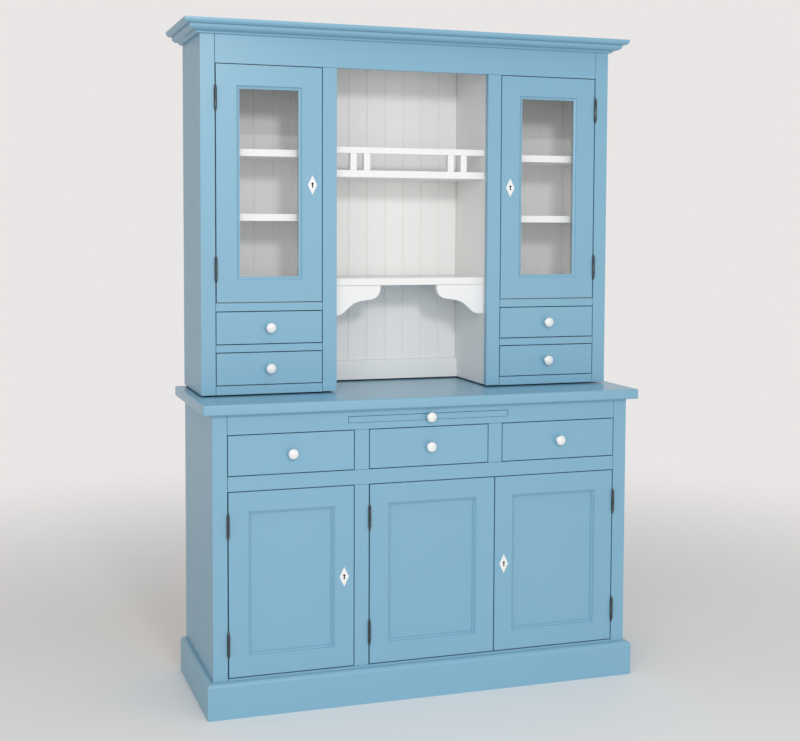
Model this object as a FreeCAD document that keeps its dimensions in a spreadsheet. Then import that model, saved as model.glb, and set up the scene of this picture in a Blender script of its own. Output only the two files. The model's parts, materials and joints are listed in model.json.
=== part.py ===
"""Buffet cabinet: a wide base with doors, drawers and a pull-out board, and a glazed hutch.

Millimetres, +Z up, +X to the right and +Y towards the back. The origin lies on the floor,
halfway along the width and halfway between the front of the knobs and the back of the base.
"""
import FreeCAD, Part
import math
import os

import Sketcher

SIZES = {
    # Base carcass and its face frame
    "base_width": 1325.0,
    "base_depth": 475.0,
    "panel_thickness": 20.0,
    "partition_thickness": 18.0,
    "shelf_board": 18.0,
    "frame_thickness": 22.0,
    "stile_width": 43.0,
    "divider_place": 214.0,
    "divider_width": 44.0,
    "bottom_rail_height": 60.0,
    "plinth_reveal": 6.0,
    "base_door_opening": 551.0,
    "mid_rail_height": 43.5,
    "base_drawer_opening": 122.0,
    "top_rail_height": 60.5,
    "base_shelf_rise": 268.0,
    "base_shelf_setback": 60.0,
    "back_panel": 8.0,
    "back_panel_width": 265.0,
    "stop_thickness": 14.0,
    "stop_drop": 10.0,
    # Plinth
    "plinth_height": 107.0,
    "plinth_thickness": 19.0,
    "plinth_round": 13.0,
    # Countertop
    "top_thickness": 31.0,
    "top_side_overhang": 31.0,
    "top_front_overhang": 26.0,
    "top_edge_round": 4.0,
    # Pull-out board
    "board_width": 511.0,
    "board_thickness": 19.0,
    "board_rise": 20.0,
    "board_back_room": 35.0,
    "board_lipping": 24.0,
    "board_guide_width": 18.0,
    "board_kicker_width": 36.0,
    # Hutch carcass and its face frame
    "hutch_side_reach": 2.0,
    "hutch_depth": 311.0,
    "hutch_wall_gap": 2.5,
    "hutch_stile_width": 43.3,
    "hutch_inner_stile_width": 44.2,
    "bay_width": 494.8,
    "bay_panel_setback": 4.6,
    "hutch_bottom_rail": 26.5,
    "small_drawer_opening": 101.2,
    "small_drawer_rail": 22.0,
    "deck_rail": 24.3,
    "hutch_door_opening": 711.0,
    "frieze_height": 84.0,
    "roof_recess": 4.0,
    "pad_height": 5.0,
    "pad_side": 34.0,
    "pad_inset": 60.0,
    "pad_strip_inset": 6.0,
    "pad_strip_recess": 1.0,
    # Cornice
    "cornice_height": 40.0,
    "cornice_reach": 51.5,
    "cornice_bead_reach": 10.0,
    "cornice_bead_round": 2.0,
    "cornice_bead_height": 3.2,
    "cornice_hollow_reach": 20.0,
    "cornice_hollow_height": 7.6,
    "cornice_hollow_radius": 14.0,
    "cornice_swell_reach": 34.0,
    "cornice_swell_height": 17.5,
    "cornice_swell_radius": 15.2,
    "cornice_fillet_height": 23.8,
    "cornice_round": 11.5,
    # Hutch back, shelves and gallery
    "plank_width": 63.0,
    "plank_thickness": 12.0,
    "plank_bevel": 2.6,
    "plank_recess": 4.0,
    "shelf_thickness": 22.0,
    "shelf_set_back": 42.5,
    "lower_shelf_rise": 245.8,
    "upper_shelf_rise": 440.8,
    "centre_shelf_rise": 47.3,
    "gallery_shelf_rise": 382.8,
    "gallery_gap": 51.8,
    "gallery_rail_height": 19.6,
    "gallery_rail_thickness": 18.0,
    "post_width": 20.5,
    "outer_post_place": 182.0,
    "inner_post_place": 138.6,
    "bracket_reach": 158.7,
    "bracket_height": 93.8,
    "bracket_thickness": 20.0,
    "bracket_set_back": 1.5,
    "bracket_foot": 14.0,
    "bracket_heel_reach": 42.0,
    "bracket_heel_drop": 82.0,
    "bracket_heel_radius": 40.0,
    "bracket_slope_reach": 56.0,
    "bracket_slope_drop": 69.0,
    "bracket_hollow_reach": 97.0,
    "bracket_hollow_drop": 48.8,
    "bracket_hollow_radius": 73.0,
    "bracket_nose_reach": 129.0,
    "bracket_nose_drop": 44.1,
    "bracket_nose_radius": 35.0,
    "bracket_tip": 12.0,
    "skirting_height": 65.0,
    "skirting_thickness": 12.0,
    "skirting_round": 7.0,
    "pin_radius": 2.5,
    "pin_depth": 8.0,
    "pin_inset": 45.0,
    "pin_fit": 0.05,
    # Doors
    "door_thickness": 21.5,
    "door_gap": 2.2,
    "hinge_gap": 3.2,
    "base_door_frame": 57.0,
    "panel_recess": 12.0,
    "panel_plate": 7.0,
    "panel_tongue": 8.0,
    "panel_play": 0.2,
    "panel_moulding_width": 11.4,
    "panel_quirk": 0.8,
    "panel_quirk_width": 1.0,
    "panel_bead_width": 5.0,
    "panel_bead_drop": 5.5,
    "panel_bead_radius": 4.8,
    "panel_step_width": 6.2,
    "panel_step_drop": 6.6,
    "panel_roll_width": 10.4,
    "panel_roll_drop": 10.8,
    "panel_roll_radius": 4.6,
    "hutch_door_stile": 60.0,
    "hutch_door_top": 58.8,
    "hutch_door_bottom": 64.6,
    "glass_moulding_width": 12.0,
    "glass_moulding_depth": 8.0,
    "glass_place": 10.0,
    "glass_thickness": 4.0,
    "glass_rebate": 8.0,
    "glass_play": 0.5,
    "moulding_lip": 2.4,
    "moulding_drop": 5.4,
    "moulding_sweep": 10.5,
    # Hinges
    "knuckle_radius": 4.3,
    "hinge_pin_radius": 2.4,
    "hinge_pin_fit": 0.05,
    "knuckle_half": 29.0,
    "knuckle_clear": 0.3,
    "finial_neck": 3.0,
    "finial_collar": 3.9,
    "finial_tip": 0.9,
    "finial_length": 12.0,
    "leaf_thickness": 1.1,
    "leaf_depth": 18.0,
    "base_hinge_inset": 101.0,
    "hutch_hinge_inset": 102.0,
    # Locks
    "lock_backset": 30.5,
    "lock_case_width": 46.0,
    "lock_case_height": 60.0,
    "lock_case_depth": 11.0,
    "lock_play": 0.3,
    "bolt_height": 14.0,
    "bolt_thickness": 6.0,
    "bolt_length": 30.0,
    "bolt_back": 0.5,
    "mortise_depth": 9.0,
    "mortise_play": 0.7,
    "keyhole_radius": 3.5,
    "keyhole_rise": 4.3,
    "keyhole_slot": 3.4,
    "keyhole_foot_radius": 2.5,
    "keyhole_foot_drop": 5.2,
    "key_window_radius": 9.0,
    "hutch_lock_rise": 355.3,
    "base_lock_rise": 275.5,
    "plate_height": 60.5,
    "plate_width": 29.5,
    "plate_thickness": 2.4,
    "plate_bevel": 0.8,
    # Slide bolt of the middle door
    "slide_rod_radius": 3.0,
    "slide_rod_fit": 0.06,
    "slide_rod_length": 72.0,
    "slide_rod_inset": 14.0,
    "slide_rod_standoff": 7.0,
    "slide_rod_drop": 3.0,
    "slide_plate_width": 18.0,
    "slide_plate_height": 58.0,
    "slide_plate": 2.0,
    "slide_keeper": 9.0,
    "slide_thumb_radius": 2.5,
    "slide_thumb_length": 7.0,
    "slide_stroke": 14.0,
    # Knobs
    "knob_radius": 15.0,
    "knob_reach": 27.0,
    "knob_base_radius": 8.5,
    "knob_base_reach": 2.5,
    "knob_neck_radius": 6.5,
    "knob_neck_reach": 9.0,
    "knob_shoulder_reach": 14.0,
    "knob_edge_reach": 18.0,
    "knob_tenon_radius": 5.0,
    "knob_tenon_length": 15.0,
    # Drawers
    "drawer_front": 20.0,
    "drawer_side": 12.0,
    "drawer_bottom": 6.0,
    "drawer_groove": 6.0,
    "drawer_groove_rise": 9.0,
    "drawer_side_play": 1.2,
    "drawer_head_room": 10.0,
    "slide_play": 0.3,
    "drawer_back_room": 39.0,
    "small_drawer_back_room": 7.0,
    "runner_thickness": 18.0,
    "guide_height": 26.0,
    "kicker_lap": 14.0,
    # Shared overrun of cutting shapes
    "overrun": 5.0,
}

document = FreeCAD.newDocument("BuffetCabinet")
sheet = document.addObject("Spreadsheet::Sheet", "Sizes")
for row, (alias, number) in enumerate(SIZES.items(), start=1):
    sheet.set(f"A{row}", alias)
    sheet.set(f"B{row}", str(number))
    sheet.setAlias(f"B{row}", alias)
document.recompute()


def parts_of(value):
    """The number and the formula of a size or of a plain factor."""
    if isinstance(value, Size):
        return value.number, value.formula
    return value, str(value)


class Size:
    """A length that knows its number and the sheet formula that drives it."""

    def __init__(self, number, formula):
        self.number = number
        self.formula = formula

    def __add__(self, other):
        return Size(self.number + other.number, f"({self.formula} + {other.formula})")

    def __sub__(self, other):
        return Size(self.number - other.number, f"({self.formula} - {other.formula})")

    def __mul__(self, factor):
        number, formula = parts_of(factor)
        return Size(self.number * number, f"({self.formula} * {formula})")

    def __truediv__(self, divisor):
        number, formula = parts_of(divisor)
        return Size(self.number / number, f"({self.formula} / {formula})")

    def __neg__(self):
        return self * -1

    __rmul__ = __mul__


class Sheet:
    """The sheet's cells, each read as an attribute named after its alias."""

    def __getattr__(self, alias):
        return Size(float(sheet.get(alias)), f"Sizes.{alias}")


S = Sheet()
ZERO = Size(0.0, "0")
UPRIGHT = FreeCAD.Rotation()
ALONG_X = FreeCAD.Rotation(FreeCAD.Vector(0, 1, 0), 90)
ALONG_Y = FreeCAD.Rotation(FreeCAD.Vector(1, 0, 0), -90)
nodes = []


def put(piece, place, turn=UPRIGHT):
    """Turn a piece, then bind its place to the sheet."""
    piece.Placement = FreeCAD.Placement(FreeCAD.Vector(), turn)
    for axis, size in zip("xyz", place):
        piece.setExpression(f"Placement.Base.{axis}", size.formula)
    return piece


def board(name, x, y, z):
    """A rectangular board between two places on each axis."""
    piece = document.addObject("Part::Box", name)
    for side, (low, high) in zip(("Length", "Width", "Height"), (x, y, z)):
        piece.setExpression(side, (high - low).formula)
    return put(piece, (x[0], y[0], z[0]))


def rod(name, start, radius, length, turn=UPRIGHT):
    """A round rod from its start, along +Z unless it is turned."""
    piece = document.addObject("Part::Cylinder", name)
    piece.setExpression("Radius", radius.formula)
    piece.setExpression("Height", length.formula)
    return put(piece, start, turn)


def together(name, pieces):
    """Several separate solids under one name."""
    group = document.addObject("Part::Compound", name)
    group.Links = pieces
    return group


def cut(name, base, tools):
    """The base with the tools' space taken out."""
    piece = document.addObject("Part::Cut", name)
    piece.Base = base
    piece.Tool = tools[0] if len(tools) == 1 else together(f"{name}_tools", tools)
    return piece


def fuse(name, pieces):
    """One solid from pieces that meet."""
    piece = document.addObject("Part::MultiFuse", name)
    piece.Shapes = pieces
    return piece


def common(name, base, tool):
    """The space that both pieces hold."""
    piece = document.addObject("Part::Common", name)
    piece.Base = base
    piece.Tool = tool
    return piece


def node(label, pieces):
    """Register the sub-part that takes this label, made of one or more solids."""
    piece = pieces[0] if len(pieces) == 1 else together(label, pieces)
    piece.Label = label
    nodes.append(piece)
    return piece


def origin_plane(body, role):
    """One of the body's own origin planes."""
    return next(item for item in body.Origin.OriginFeatures if item.Role == role)


def arc_centre(start, end, radius, turn):
    """Centre of the short arc from start to end; turn is 1 for a left turn, -1 for a right."""
    chord = end - start
    half = chord.Length / 2
    rise = math.sqrt(max(radius * radius - half * half, 0.0))
    normal = FreeCAD.Vector(-chord.y, chord.x, 0).normalize()
    return (start + end) * 0.5 + normal * (rise * turn)


def outline(body, role, corners):
    """A closed sketch; a corner of four values starts an arc of that radius and turn."""
    sketch = body.newObject("Sketcher::SketchObject", f"{body.Name}_outline")
    sketch.AttachmentSupport = (origin_plane(body, role), [""])
    sketch.MapMode = "FlatFace"
    ends = [FreeCAD.Vector(corner[0].number, corner[1].number, 0) for corner in corners]
    firsts = []
    lasts = []
    for index, corner in enumerate(corners):
        start = ends[index]
        end = ends[(index + 1) % len(corners)]
        if len(corner) == 2:
            sketch.addGeometry(Part.LineSegment(start, end), False)
            firsts.append(1)
            lasts.append(2)
            continue
        radius, turn = corner[2], corner[3]
        centre = arc_centre(start, end, radius.number, turn)
        low, high = (start, end) if turn > 0 else (end, start)
        first = math.atan2(low.y - centre.y, low.x - centre.x)
        last = math.atan2(high.y - centre.y, high.x - centre.x)
        if last < first:
            last += 2 * math.pi
        circle = Part.Circle(centre, FreeCAD.Vector(0, 0, 1), radius.number)
        sketch.addGeometry(Part.ArcOfCircle(circle, first, last), False)
        firsts.append(1 if turn > 0 else 2)
        lasts.append(2 if turn > 0 else 1)
    for index, corner in enumerate(corners):
        after = (index + 1) % len(corners)
        sketch.addConstraint(
            Sketcher.Constraint("Coincident", index, lasts[index], after, firsts[after]))
        for kind, size, axis in (("DistanceX", corner[0], -2), ("DistanceY", corner[1], -1)):
            if size is ZERO:
                sketch.addConstraint(
                    Sketcher.Constraint("PointOnObject", index, firsts[index], axis))
                continue
            number = sketch.addConstraint(
                Sketcher.Constraint(kind, -1, 1, index, firsts[index], size.number))
            sketch.setExpression(f"Constraints[{number}]", size.formula)
        if len(corner) == 4:
            number = sketch.addConstraint(Sketcher.Constraint("Radius", index, corner[2].number))
            sketch.setExpression(f"Constraints[{number}]", corner[2].formula)
    return sketch


def prism(name, role, corners, length, place=(ZERO, ZERO, ZERO), side="Symmetric"):
    """A padded outline: on both sides of its origin plane, or on one side of it."""
    body = document.addObject("PartDesign::Body", name)
    sketch = outline(body, role, corners)
    pad = body.newObject("PartDesign::Pad", f"{name}_pad")
    pad.Profile = sketch
    pad.SideType = side
    pad.setExpression("Length", length.formula)
    body.Tip = pad
    return put(body, place)


def turned(name, role, axis, corners, place):
    """A revolved outline; its axis is the sketch's own horizontal or vertical axis."""
    body = document.addObject("PartDesign::Body", name)
    sketch = outline(body, role, corners)
    spin = body.newObject("PartDesign::Revolution", f"{name}_turning")
    spin.Profile = sketch
    spin.ReferenceAxis = (sketch, [axis])
    spin.Angle = 360
    body.Tip = spin
    return put(body, place)


def mirror_range(side, low, high):
    """The range low to high on the right side, or its mirror image on the left."""
    return (low, high) if side > 0 else (-high, -low)


# Places shared by the pieces

face = -(S.base_depth - S.knob_reach) / 2
frame_back = face + S.frame_thickness
back = face + S.base_depth
base_back_face = back - S.back_panel
base_half = S.base_width / 2
base_inner = base_half - S.panel_thickness
base_edge = base_half - S.stile_width
divider_half = S.divider_width / 2
divider_in = S.divider_place - divider_half
divider_out = S.divider_place + divider_half
partition_half = S.partition_thickness / 2
partition_in = S.divider_place - partition_half
partition_out = S.divider_place + partition_half

door_low = S.plinth_height + S.plinth_reveal
door_high = door_low + S.base_door_opening
drawer_low = door_high + S.mid_rail_height
drawer_high = drawer_low + S.base_drawer_opening
top_low = drawer_high + S.top_rail_height
top_high = top_low + S.top_thickness
board_half = S.board_width / 2
board_low = drawer_high + S.board_rise
board_high = board_low + S.board_thickness
board_slot_low = board_low - S.slide_play
board_slot_high = board_high + S.slide_play * 3

hutch_half = base_half + S.hutch_side_reach
hutch_inner = hutch_half - S.panel_thickness
hutch_edge = hutch_half - S.hutch_stile_width
bay_half = S.bay_width / 2
inner_edge = bay_half + S.hutch_inner_stile_width
bay_panel = bay_half + S.bay_panel_setback
bay_panel_out = bay_panel + S.partition_thickness
hutch_back = back - S.hutch_wall_gap
hutch_face = hutch_back - S.hutch_depth
hutch_frame_back = hutch_face + S.frame_thickness
plank_back = hutch_back - S.plank_recess
plank_front = plank_back - S.plank_thickness
shelf_front = hutch_face + S.shelf_set_back
hutch_low = top_high + S.pad_height
small_low = hutch_low + S.hutch_bottom_rail
small_high = small_low + S.small_drawer_opening
upper_low = small_high + S.small_drawer_rail
upper_high = upper_low + S.small_drawer_opening
hutch_door_low = upper_high + S.deck_rail
hutch_door_high = hutch_door_low + S.hutch_door_opening
cornice_low = hutch_door_high + S.frieze_height
cornice_high = cornice_low + S.cornice_height
roof_high = cornice_high - S.roof_recess
roof_low = roof_high - S.shelf_board

SIDES = (("left", -1), ("right", 1))


def mitred_surround(name, section, half, front, rear, height):
    """Three mouldings round the front and both sides, mitred at the front corners.

    The section's corners are (reach out of the carcass, height), with arcs as in outline.
    """
    def placed(start, sign):
        """The section set off from a face; sign is the direction that leads outwards."""
        return [(start + corner[0] * sign, corner[1]) + corner[2:3]
                + tuple(turn * sign for turn in corner[3:]) for corner in section]

    reach = max((corner[0] for corner in section), key=lambda size: size.number)
    out = half + reach
    nose = front - reach
    plan = [(-out, nose), (out, nose), (half, front), (-half, front)]
    pieces = [common(
        f"{name}_front",
        prism(f"{name}_front_run", "YZ_Plane", placed(front, -1), 2 * out),
        prism(f"{name}_front_plan", "XY_Plane", plan, 2 * height))]
    for side, sign in SIDES:
        plan = [(out * sign, nose), (out * sign, rear), (half * sign, rear), (half * sign, front)]
        pieces.append(common(
            f"{name}_{side}",
            prism(f"{name}_{side}_run", "XZ_Plane", placed(half * sign, sign), 4 * S.base_depth),
            prism(f"{name}_{side}_plan", "XY_Plane", plan, 2 * height)))
    return pieces


def base_carcass():
    """Sides, face frame, floor, shelves, partitions and back of the base."""
    holes = {"left": [], "right": [], "partition": []}
    pins = []
    shelf_low = door_low + S.base_shelf_rise
    shelf_bays = (
        ("left", -base_inner, -partition_out, "left", "partition"),
        ("double", -partition_in, base_inner, "partition", "right"),
    )
    shelves = [board("base_floor", (-base_inner, base_inner), (frame_back, base_back_face),
                     (door_low - S.shelf_board, door_low))]
    for bay, low, high, low_wall, high_wall in shelf_bays:
        front = frame_back + S.base_shelf_setback
        shelves.append(board(
            f"base_shelf_{bay}", (low + S.slide_play, high - S.slide_play),
            (front, base_back_face - S.slide_play), (shelf_low, shelf_low + S.shelf_board)))
        rests = (front + S.pin_inset, base_back_face - S.pin_inset)
        for number, y in enumerate(rests):
            z = shelf_low - S.pin_radius
            for wall, x in ((low_wall, low - S.pin_depth), (high_wall, high - S.pin_depth)):
                name = f"base_pin_{bay}_{wall}_{number}"
                pins.append(rod(name, (x, y, z), S.pin_radius, 2 * S.pin_depth, ALONG_X))
                holes[wall].append(rod(f"{name}_hole", (x, y, z), S.pin_radius + S.pin_fit,
                                       2 * S.pin_depth, ALONG_X))
    node("base_shelves", shelves)
    side_boards = []
    for side, sign in SIDES:
        plain = board(f"base_side_{side}", mirror_range(sign, base_inner, base_half),
                      (frame_back, back), (ZERO, top_low))
        side_boards.append(cut(f"base_side_{side}_bored", plain, holes[side]))
    node("base_sides", side_boards)

    partition = board("base_partition", (-partition_out, -partition_in),
                      (frame_back, base_back_face), (door_low, board_slot_low))
    divider = board("base_drawer_divider", (partition_in, partition_out),
                    (frame_back, base_back_face), (drawer_low, board_slot_low))
    node("base_partitions", [cut("base_partition_bored", partition, holes["partition"]), divider])

    stiles = [board(f"base_stile_{side}", mirror_range(sign, base_edge, base_half),
                    (face, frame_back), (ZERO, top_low)) for side, sign in SIDES]
    middle = board("base_stile_middle", (-divider_out, -divider_in), (face, frame_back),
                   (door_low, door_high))
    mortise = lock_mortise("base_left_mortise", -divider_out, 1, face, door_low + S.base_lock_rise)
    stiles.append(cut("base_stile_middle_mortised", middle, [mortise]))
    for side, sign in SIDES:
        stiles.append(board(f"base_drawer_stile_{side}",
                            mirror_range(sign, divider_in, divider_out), (face, frame_back),
                            (drawer_low, drawer_high)))
    node("base_face_stiles", stiles)

    stop_back = frame_back + S.stop_thickness
    stop_heights = (door_high - S.stop_drop, drawer_low)
    double_stop = board("base_stop_double", (-partition_in, base_inner), (frame_back, stop_back),
                        stop_heights)
    bolt_x = S.divider_place - S.door_gap / 2 - S.slide_rod_inset
    bolt_y = face + S.door_thickness + S.slide_rod_standoff
    hole = rod("base_stop_hole", (bolt_x, bolt_y, door_high - S.stop_drop - S.overrun),
               S.slide_rod_radius * 1.2, S.slide_stroke + S.overrun)
    node("base_face_rails", [
        board("base_bottom_rail", (-base_edge, base_edge), (face, frame_back),
              (door_low - S.bottom_rail_height, door_low)),
        board("base_mid_rail", (-base_edge, base_edge), (face, frame_back),
              (door_high, drawer_low)),
        board("base_top_rail_lower", (-base_edge, base_edge), (face, frame_back),
              (drawer_high, board_slot_low)),
        board("base_top_rail_upper", (-base_edge, base_edge), (face, frame_back),
              (board_slot_high, top_low)),
        board("base_top_spacer_left", (-base_edge, -board_half - S.slide_play * 3),
              (face, frame_back), (board_slot_low, board_slot_high)),
        board("base_top_spacer_right", (board_half + S.slide_play * 3, base_edge),
              (face, frame_back), (board_slot_low, board_slot_high)),
        board("base_stop_left", (-base_inner, -partition_out), (frame_back, stop_back),
              stop_heights),
        cut("base_stop_double_bored", double_stop, [hole]),
    ])

    count = max(1, round((2 * base_inner / S.back_panel_width.number).number))
    pitch = 2 * base_inner / count
    lows = [pitch * number - base_inner for number in range(count)]
    node("base_back_boards", [
        board(f"base_back_{number}", (low, low + pitch), (base_back_face, back),
              (door_low - S.shelf_board, top_low))
        for number, low in enumerate(lows)])
    return pins


def base_runners():
    """Dust panels, side guides and kickers that carry the drawers and the pull-out board."""
    stop_back = frame_back + S.stop_thickness
    depth = (frame_back, base_back_face)
    pieces = [
        board("dust_panel_left", (-base_inner, -partition_out), (stop_back, base_back_face),
              (drawer_low - S.runner_thickness, drawer_low)),
        board("dust_panel_double", (-partition_in, base_inner), (stop_back, base_back_face),
              (drawer_low - S.runner_thickness, drawer_low)),
    ]
    guides = (
        ("outer_left", -base_inner, -base_edge, 1), ("outer_right", base_edge, base_inner, -1),
        ("left_a", -divider_out, -partition_out, -1), ("left_b", -partition_in, -divider_in, 1),
        ("right_a", divider_in, partition_in, -1), ("right_b", partition_out, divider_out, 1),
    )
    for name, low, high, inwards in guides:
        pieces.append(board(f"drawer_guide_{name}", (low, high), depth,
                            (drawer_low, drawer_low + S.guide_height)))
        reach = (low, high + S.kicker_lap) if inwards > 0 else (low - S.kicker_lap, high)
        pieces.append(board(f"drawer_kicker_{name}", reach, depth, (drawer_high, board_slot_low)))
    for side, sign in SIDES:
        edge = board_half + S.slide_play * 3
        pieces.append(board(f"board_guide_{side}",
                            mirror_range(sign, edge, edge + S.board_guide_width), depth,
                            (board_slot_low, top_low)))
        half = S.board_kicker_width / 2
        pieces.append(board(f"board_kicker_{side}",
                            mirror_range(sign, S.divider_place - half, S.divider_place + half),
                            depth, (board_slot_high, top_low)))
    node("base_drawer_runners", pieces)


def base_plinth():
    """Mitred plinth boards with a rounded top edge."""
    section = [
        (ZERO, ZERO),
        (S.plinth_thickness, ZERO),
        (S.plinth_thickness, S.plinth_height - S.plinth_round, S.plinth_round, 1),
        (S.plinth_thickness - S.plinth_round, S.plinth_height),
        (ZERO, S.plinth_height),
    ]
    node("plinth", mitred_surround("plinth", section, base_half, face, back, S.plinth_height))


def countertop():
    """The thick top of the base, with eased edges."""
    half = base_half + S.top_side_overhang
    nose = face - S.top_front_overhang
    corners = [(-half, nose), (half, nose), (half, back), (-half, back)]
    body = prism("countertop_slab", "XY_Plane", corners, S.top_thickness,
                 (ZERO, ZERO, top_low), "One side")
    document.recompute()
    pad = body.Tip
    rear = back.number
    names = [f"Edge{number}" for number, edge in enumerate(pad.Shape.Edges, start=1)
             if min(vertex.Y for vertex in edge.Vertexes) < rear - S.top_thickness.number]
    easing = body.newObject("PartDesign::Fillet", "countertop_easing")
    easing.Base = (pad, names)
    easing.setExpression("Radius", S.top_edge_round.formula)
    body.Tip = easing
    node("countertop", [body])


def lock_mortise(name, edge, into, door_face, height):
    """Clearance for a lock bolt, cut into the edge that it meets; into is the way it enters."""
    if into > 0:
        low, high = edge - S.overrun, edge + S.mortise_depth
    else:
        low, high = edge - S.mortise_depth, edge + S.overrun
    y = door_face + S.door_thickness - S.lock_case_depth / 2
    half_y = S.bolt_thickness / 2 + S.mortise_play
    half_z = S.bolt_height / 2 + S.mortise_play
    return board(name, (low, high), (y - half_y, y + half_y), (height - half_z, height + half_z))


def hutch_carcass():
    """Sides, partitions, face frame, decks, shelves, planked back and pads of the hutch."""
    holes = {"left_side": [], "left_partition": [], "right_side": [], "right_partition": []}
    pins = []
    shelves = []
    for side, sign in SIDES:
        wide = mirror_range(sign, bay_panel_out, hutch_inner)
        walls = (("side", hutch_inner * sign), ("partition", bay_panel_out * sign))
        for level, rise in (("lower", S.lower_shelf_rise), ("upper", S.upper_shelf_rise)):
            low = hutch_door_low + rise
            shelves.append(board(
                f"hutch_shelf_{side}_{level}", (wide[0] + S.slide_play, wide[1] - S.slide_play),
                (shelf_front, plank_front - S.slide_play), (low, low + S.shelf_thickness)))
            rests = (shelf_front + S.pin_inset, plank_front - S.pin_inset)
            for number, y in enumerate(rests):
                for wall, x in walls:
                    start = (x - S.pin_depth, y, low - S.pin_radius)
                    name = f"hutch_pin_{side}_{level}_{wall}_{number}"
                    pins.append(rod(name, start, S.pin_radius, 2 * S.pin_depth, ALONG_X))
                    holes[f"{side}_{wall}"].append(
                        rod(f"{name}_hole", start, S.pin_radius + S.pin_fit, 2 * S.pin_depth,
                            ALONG_X))
    node("hutch_cabinet_shelves", shelves)

    side_boards = []
    partitions = []
    stiles = []
    rails = [board("frieze_rail", (-hutch_edge, hutch_edge), (hutch_face, hutch_frame_back),
                   (hutch_door_high, roof_high))]
    decks = [board("hutch_roof", (-hutch_inner, hutch_inner), (hutch_frame_back, hutch_back),
                   (roof_low, roof_high))]
    pads = []
    for side, sign in SIDES:
        plain = board(f"hutch_side_{side}", mirror_range(sign, hutch_inner, hutch_half),
                      (hutch_frame_back, hutch_back), (hutch_low, roof_high))
        side_boards.append(cut(f"hutch_side_{side}_bored", plain, holes[f"{side}_side"]))
        plain = board(f"hutch_partition_{side}", mirror_range(sign, bay_panel, bay_panel_out),
                      (hutch_frame_back, plank_front), (hutch_low, roof_low))
        partitions.append(cut(f"hutch_partition_{side}_bored", plain,
                              holes[f"{side}_partition"]))
        stiles.append(board(f"hutch_stile_{side}", mirror_range(sign, hutch_edge, hutch_half),
                            (hutch_face, hutch_frame_back), (hutch_low, roof_high)))
        plain = board(f"hutch_inner_stile_{side}", mirror_range(sign, bay_half, inner_edge),
                      (hutch_face, hutch_frame_back), (hutch_low, hutch_door_high))
        mortise = lock_mortise(f"hutch_{side}_mortise", inner_edge * sign, -sign, hutch_face,
                               hutch_door_low + S.hutch_lock_rise)
        stiles.append(cut(f"hutch_inner_stile_{side}_mortised", plain, [mortise]))
        wide = mirror_range(sign, inner_edge, hutch_edge)
        inside = mirror_range(sign, bay_panel_out, hutch_inner)
        depth = (hutch_frame_back, plank_front)
        levels = (
            ("bottom", hutch_low, small_low),
            ("drawer", small_high, upper_low),
            ("deck", upper_high, hutch_door_low),
        )
        for level, low, high in levels:
            rails.append(board(f"hutch_rail_{side}_{level}", wide, (hutch_face, hutch_frame_back),
                               (low, high)))
            decks.append(board(f"hutch_deck_{side}_{level}", inside, depth,
                               (high - S.shelf_board, high)))
        for level, low in (("lower", small_low), ("upper", upper_low)):
            for end, start, stop in (("inner", bay_panel_out, inner_edge),
                                     ("outer", hutch_edge, hutch_inner)):
                decks.append(board(f"hutch_guide_{side}_{level}_{end}",
                                   mirror_range(sign, start, stop), depth,
                                   (low, low + S.guide_height)))
        rails.append(board(f"hutch_stop_{side}", inside,
                           (hutch_frame_back, hutch_frame_back + S.stop_thickness),
                           (hutch_door_high - S.stop_drop, hutch_door_high + S.stop_drop)))
        y = hutch_face + S.pad_inset
        for end, x in (("outer", hutch_half - S.pad_inset), ("inner", bay_panel_out)):
            low = x - S.pad_side / 2
            pads.append(board(f"hutch_pad_{side}_{end}", mirror_range(sign, low, low + S.pad_side),
                              (y - S.pad_side / 2, y + S.pad_side / 2), (top_high, hutch_low)))
    strip_half = hutch_half - S.pad_strip_inset
    pads.append(board("hutch_pad_rear_strip", (-strip_half, strip_half),
                      (plank_front + S.pad_strip_recess, plank_back), (top_high, hutch_low)))
    node("hutch_sides", side_boards)
    node("hutch_partitions", partitions)
    node("hutch_face_stiles", stiles)
    node("hutch_face_rails", rails)
    node("hutch_decks", decks)
    node("hutch_pads", pads)

    regular = max(1, int((hutch_inner / S.plank_width.number).number) - 1)
    planks = []
    for number in range(-regular - 1, regular + 1):
        low = -hutch_inner if number == -regular - 1 else S.plank_width * number
        high = hutch_inner if number == regular else S.plank_width * (number + 1)
        shoulder = plank_front + S.plank_bevel
        corners = [(low, plank_back), (low, shoulder), (low + S.plank_bevel, plank_front),
                   (high - S.plank_bevel, plank_front), (high, shoulder), (high, plank_back)]
        tidy = [(ZERO if corner[0].number == 0 else corner[0], corner[1]) for corner in corners]
        planks.append(prism(f"hutch_plank_{number + regular + 1}", "XY_Plane", tidy,
                            roof_low - hutch_low, (ZERO, ZERO, hutch_low), "One side"))
    node("hutch_back_boards", planks)
    return pins


def hutch_cornice():
    """Mitred cornice: small bead, hollow and swell, fillet and a rounded top member."""
    start = cornice_low
    section = [
        (ZERO, start),
        (S.cornice_bead_reach - S.cornice_bead_round, start, S.cornice_bead_round, 1),
        (S.cornice_bead_reach, start + S.cornice_bead_round),
        (S.cornice_bead_reach, start + S.cornice_bead_height, S.cornice_hollow_radius, -1),
        (S.cornice_hollow_reach, start + S.cornice_hollow_height, S.cornice_swell_radius, 1),
        (S.cornice_swell_reach, start + S.cornice_swell_height),
        (S.cornice_swell_reach, start + S.cornice_fillet_height),
        (S.cornice_reach - S.cornice_round, start + S.cornice_fillet_height, S.cornice_round, 1),
        (S.cornice_reach, start + S.cornice_fillet_height + S.cornice_round),
        (S.cornice_reach, cornice_high),
        (ZERO, cornice_high),
    ]
    node("cornice", mitred_surround("cornice", section, hutch_half, hutch_face, hutch_back,
                                    cornice_high))


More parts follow.
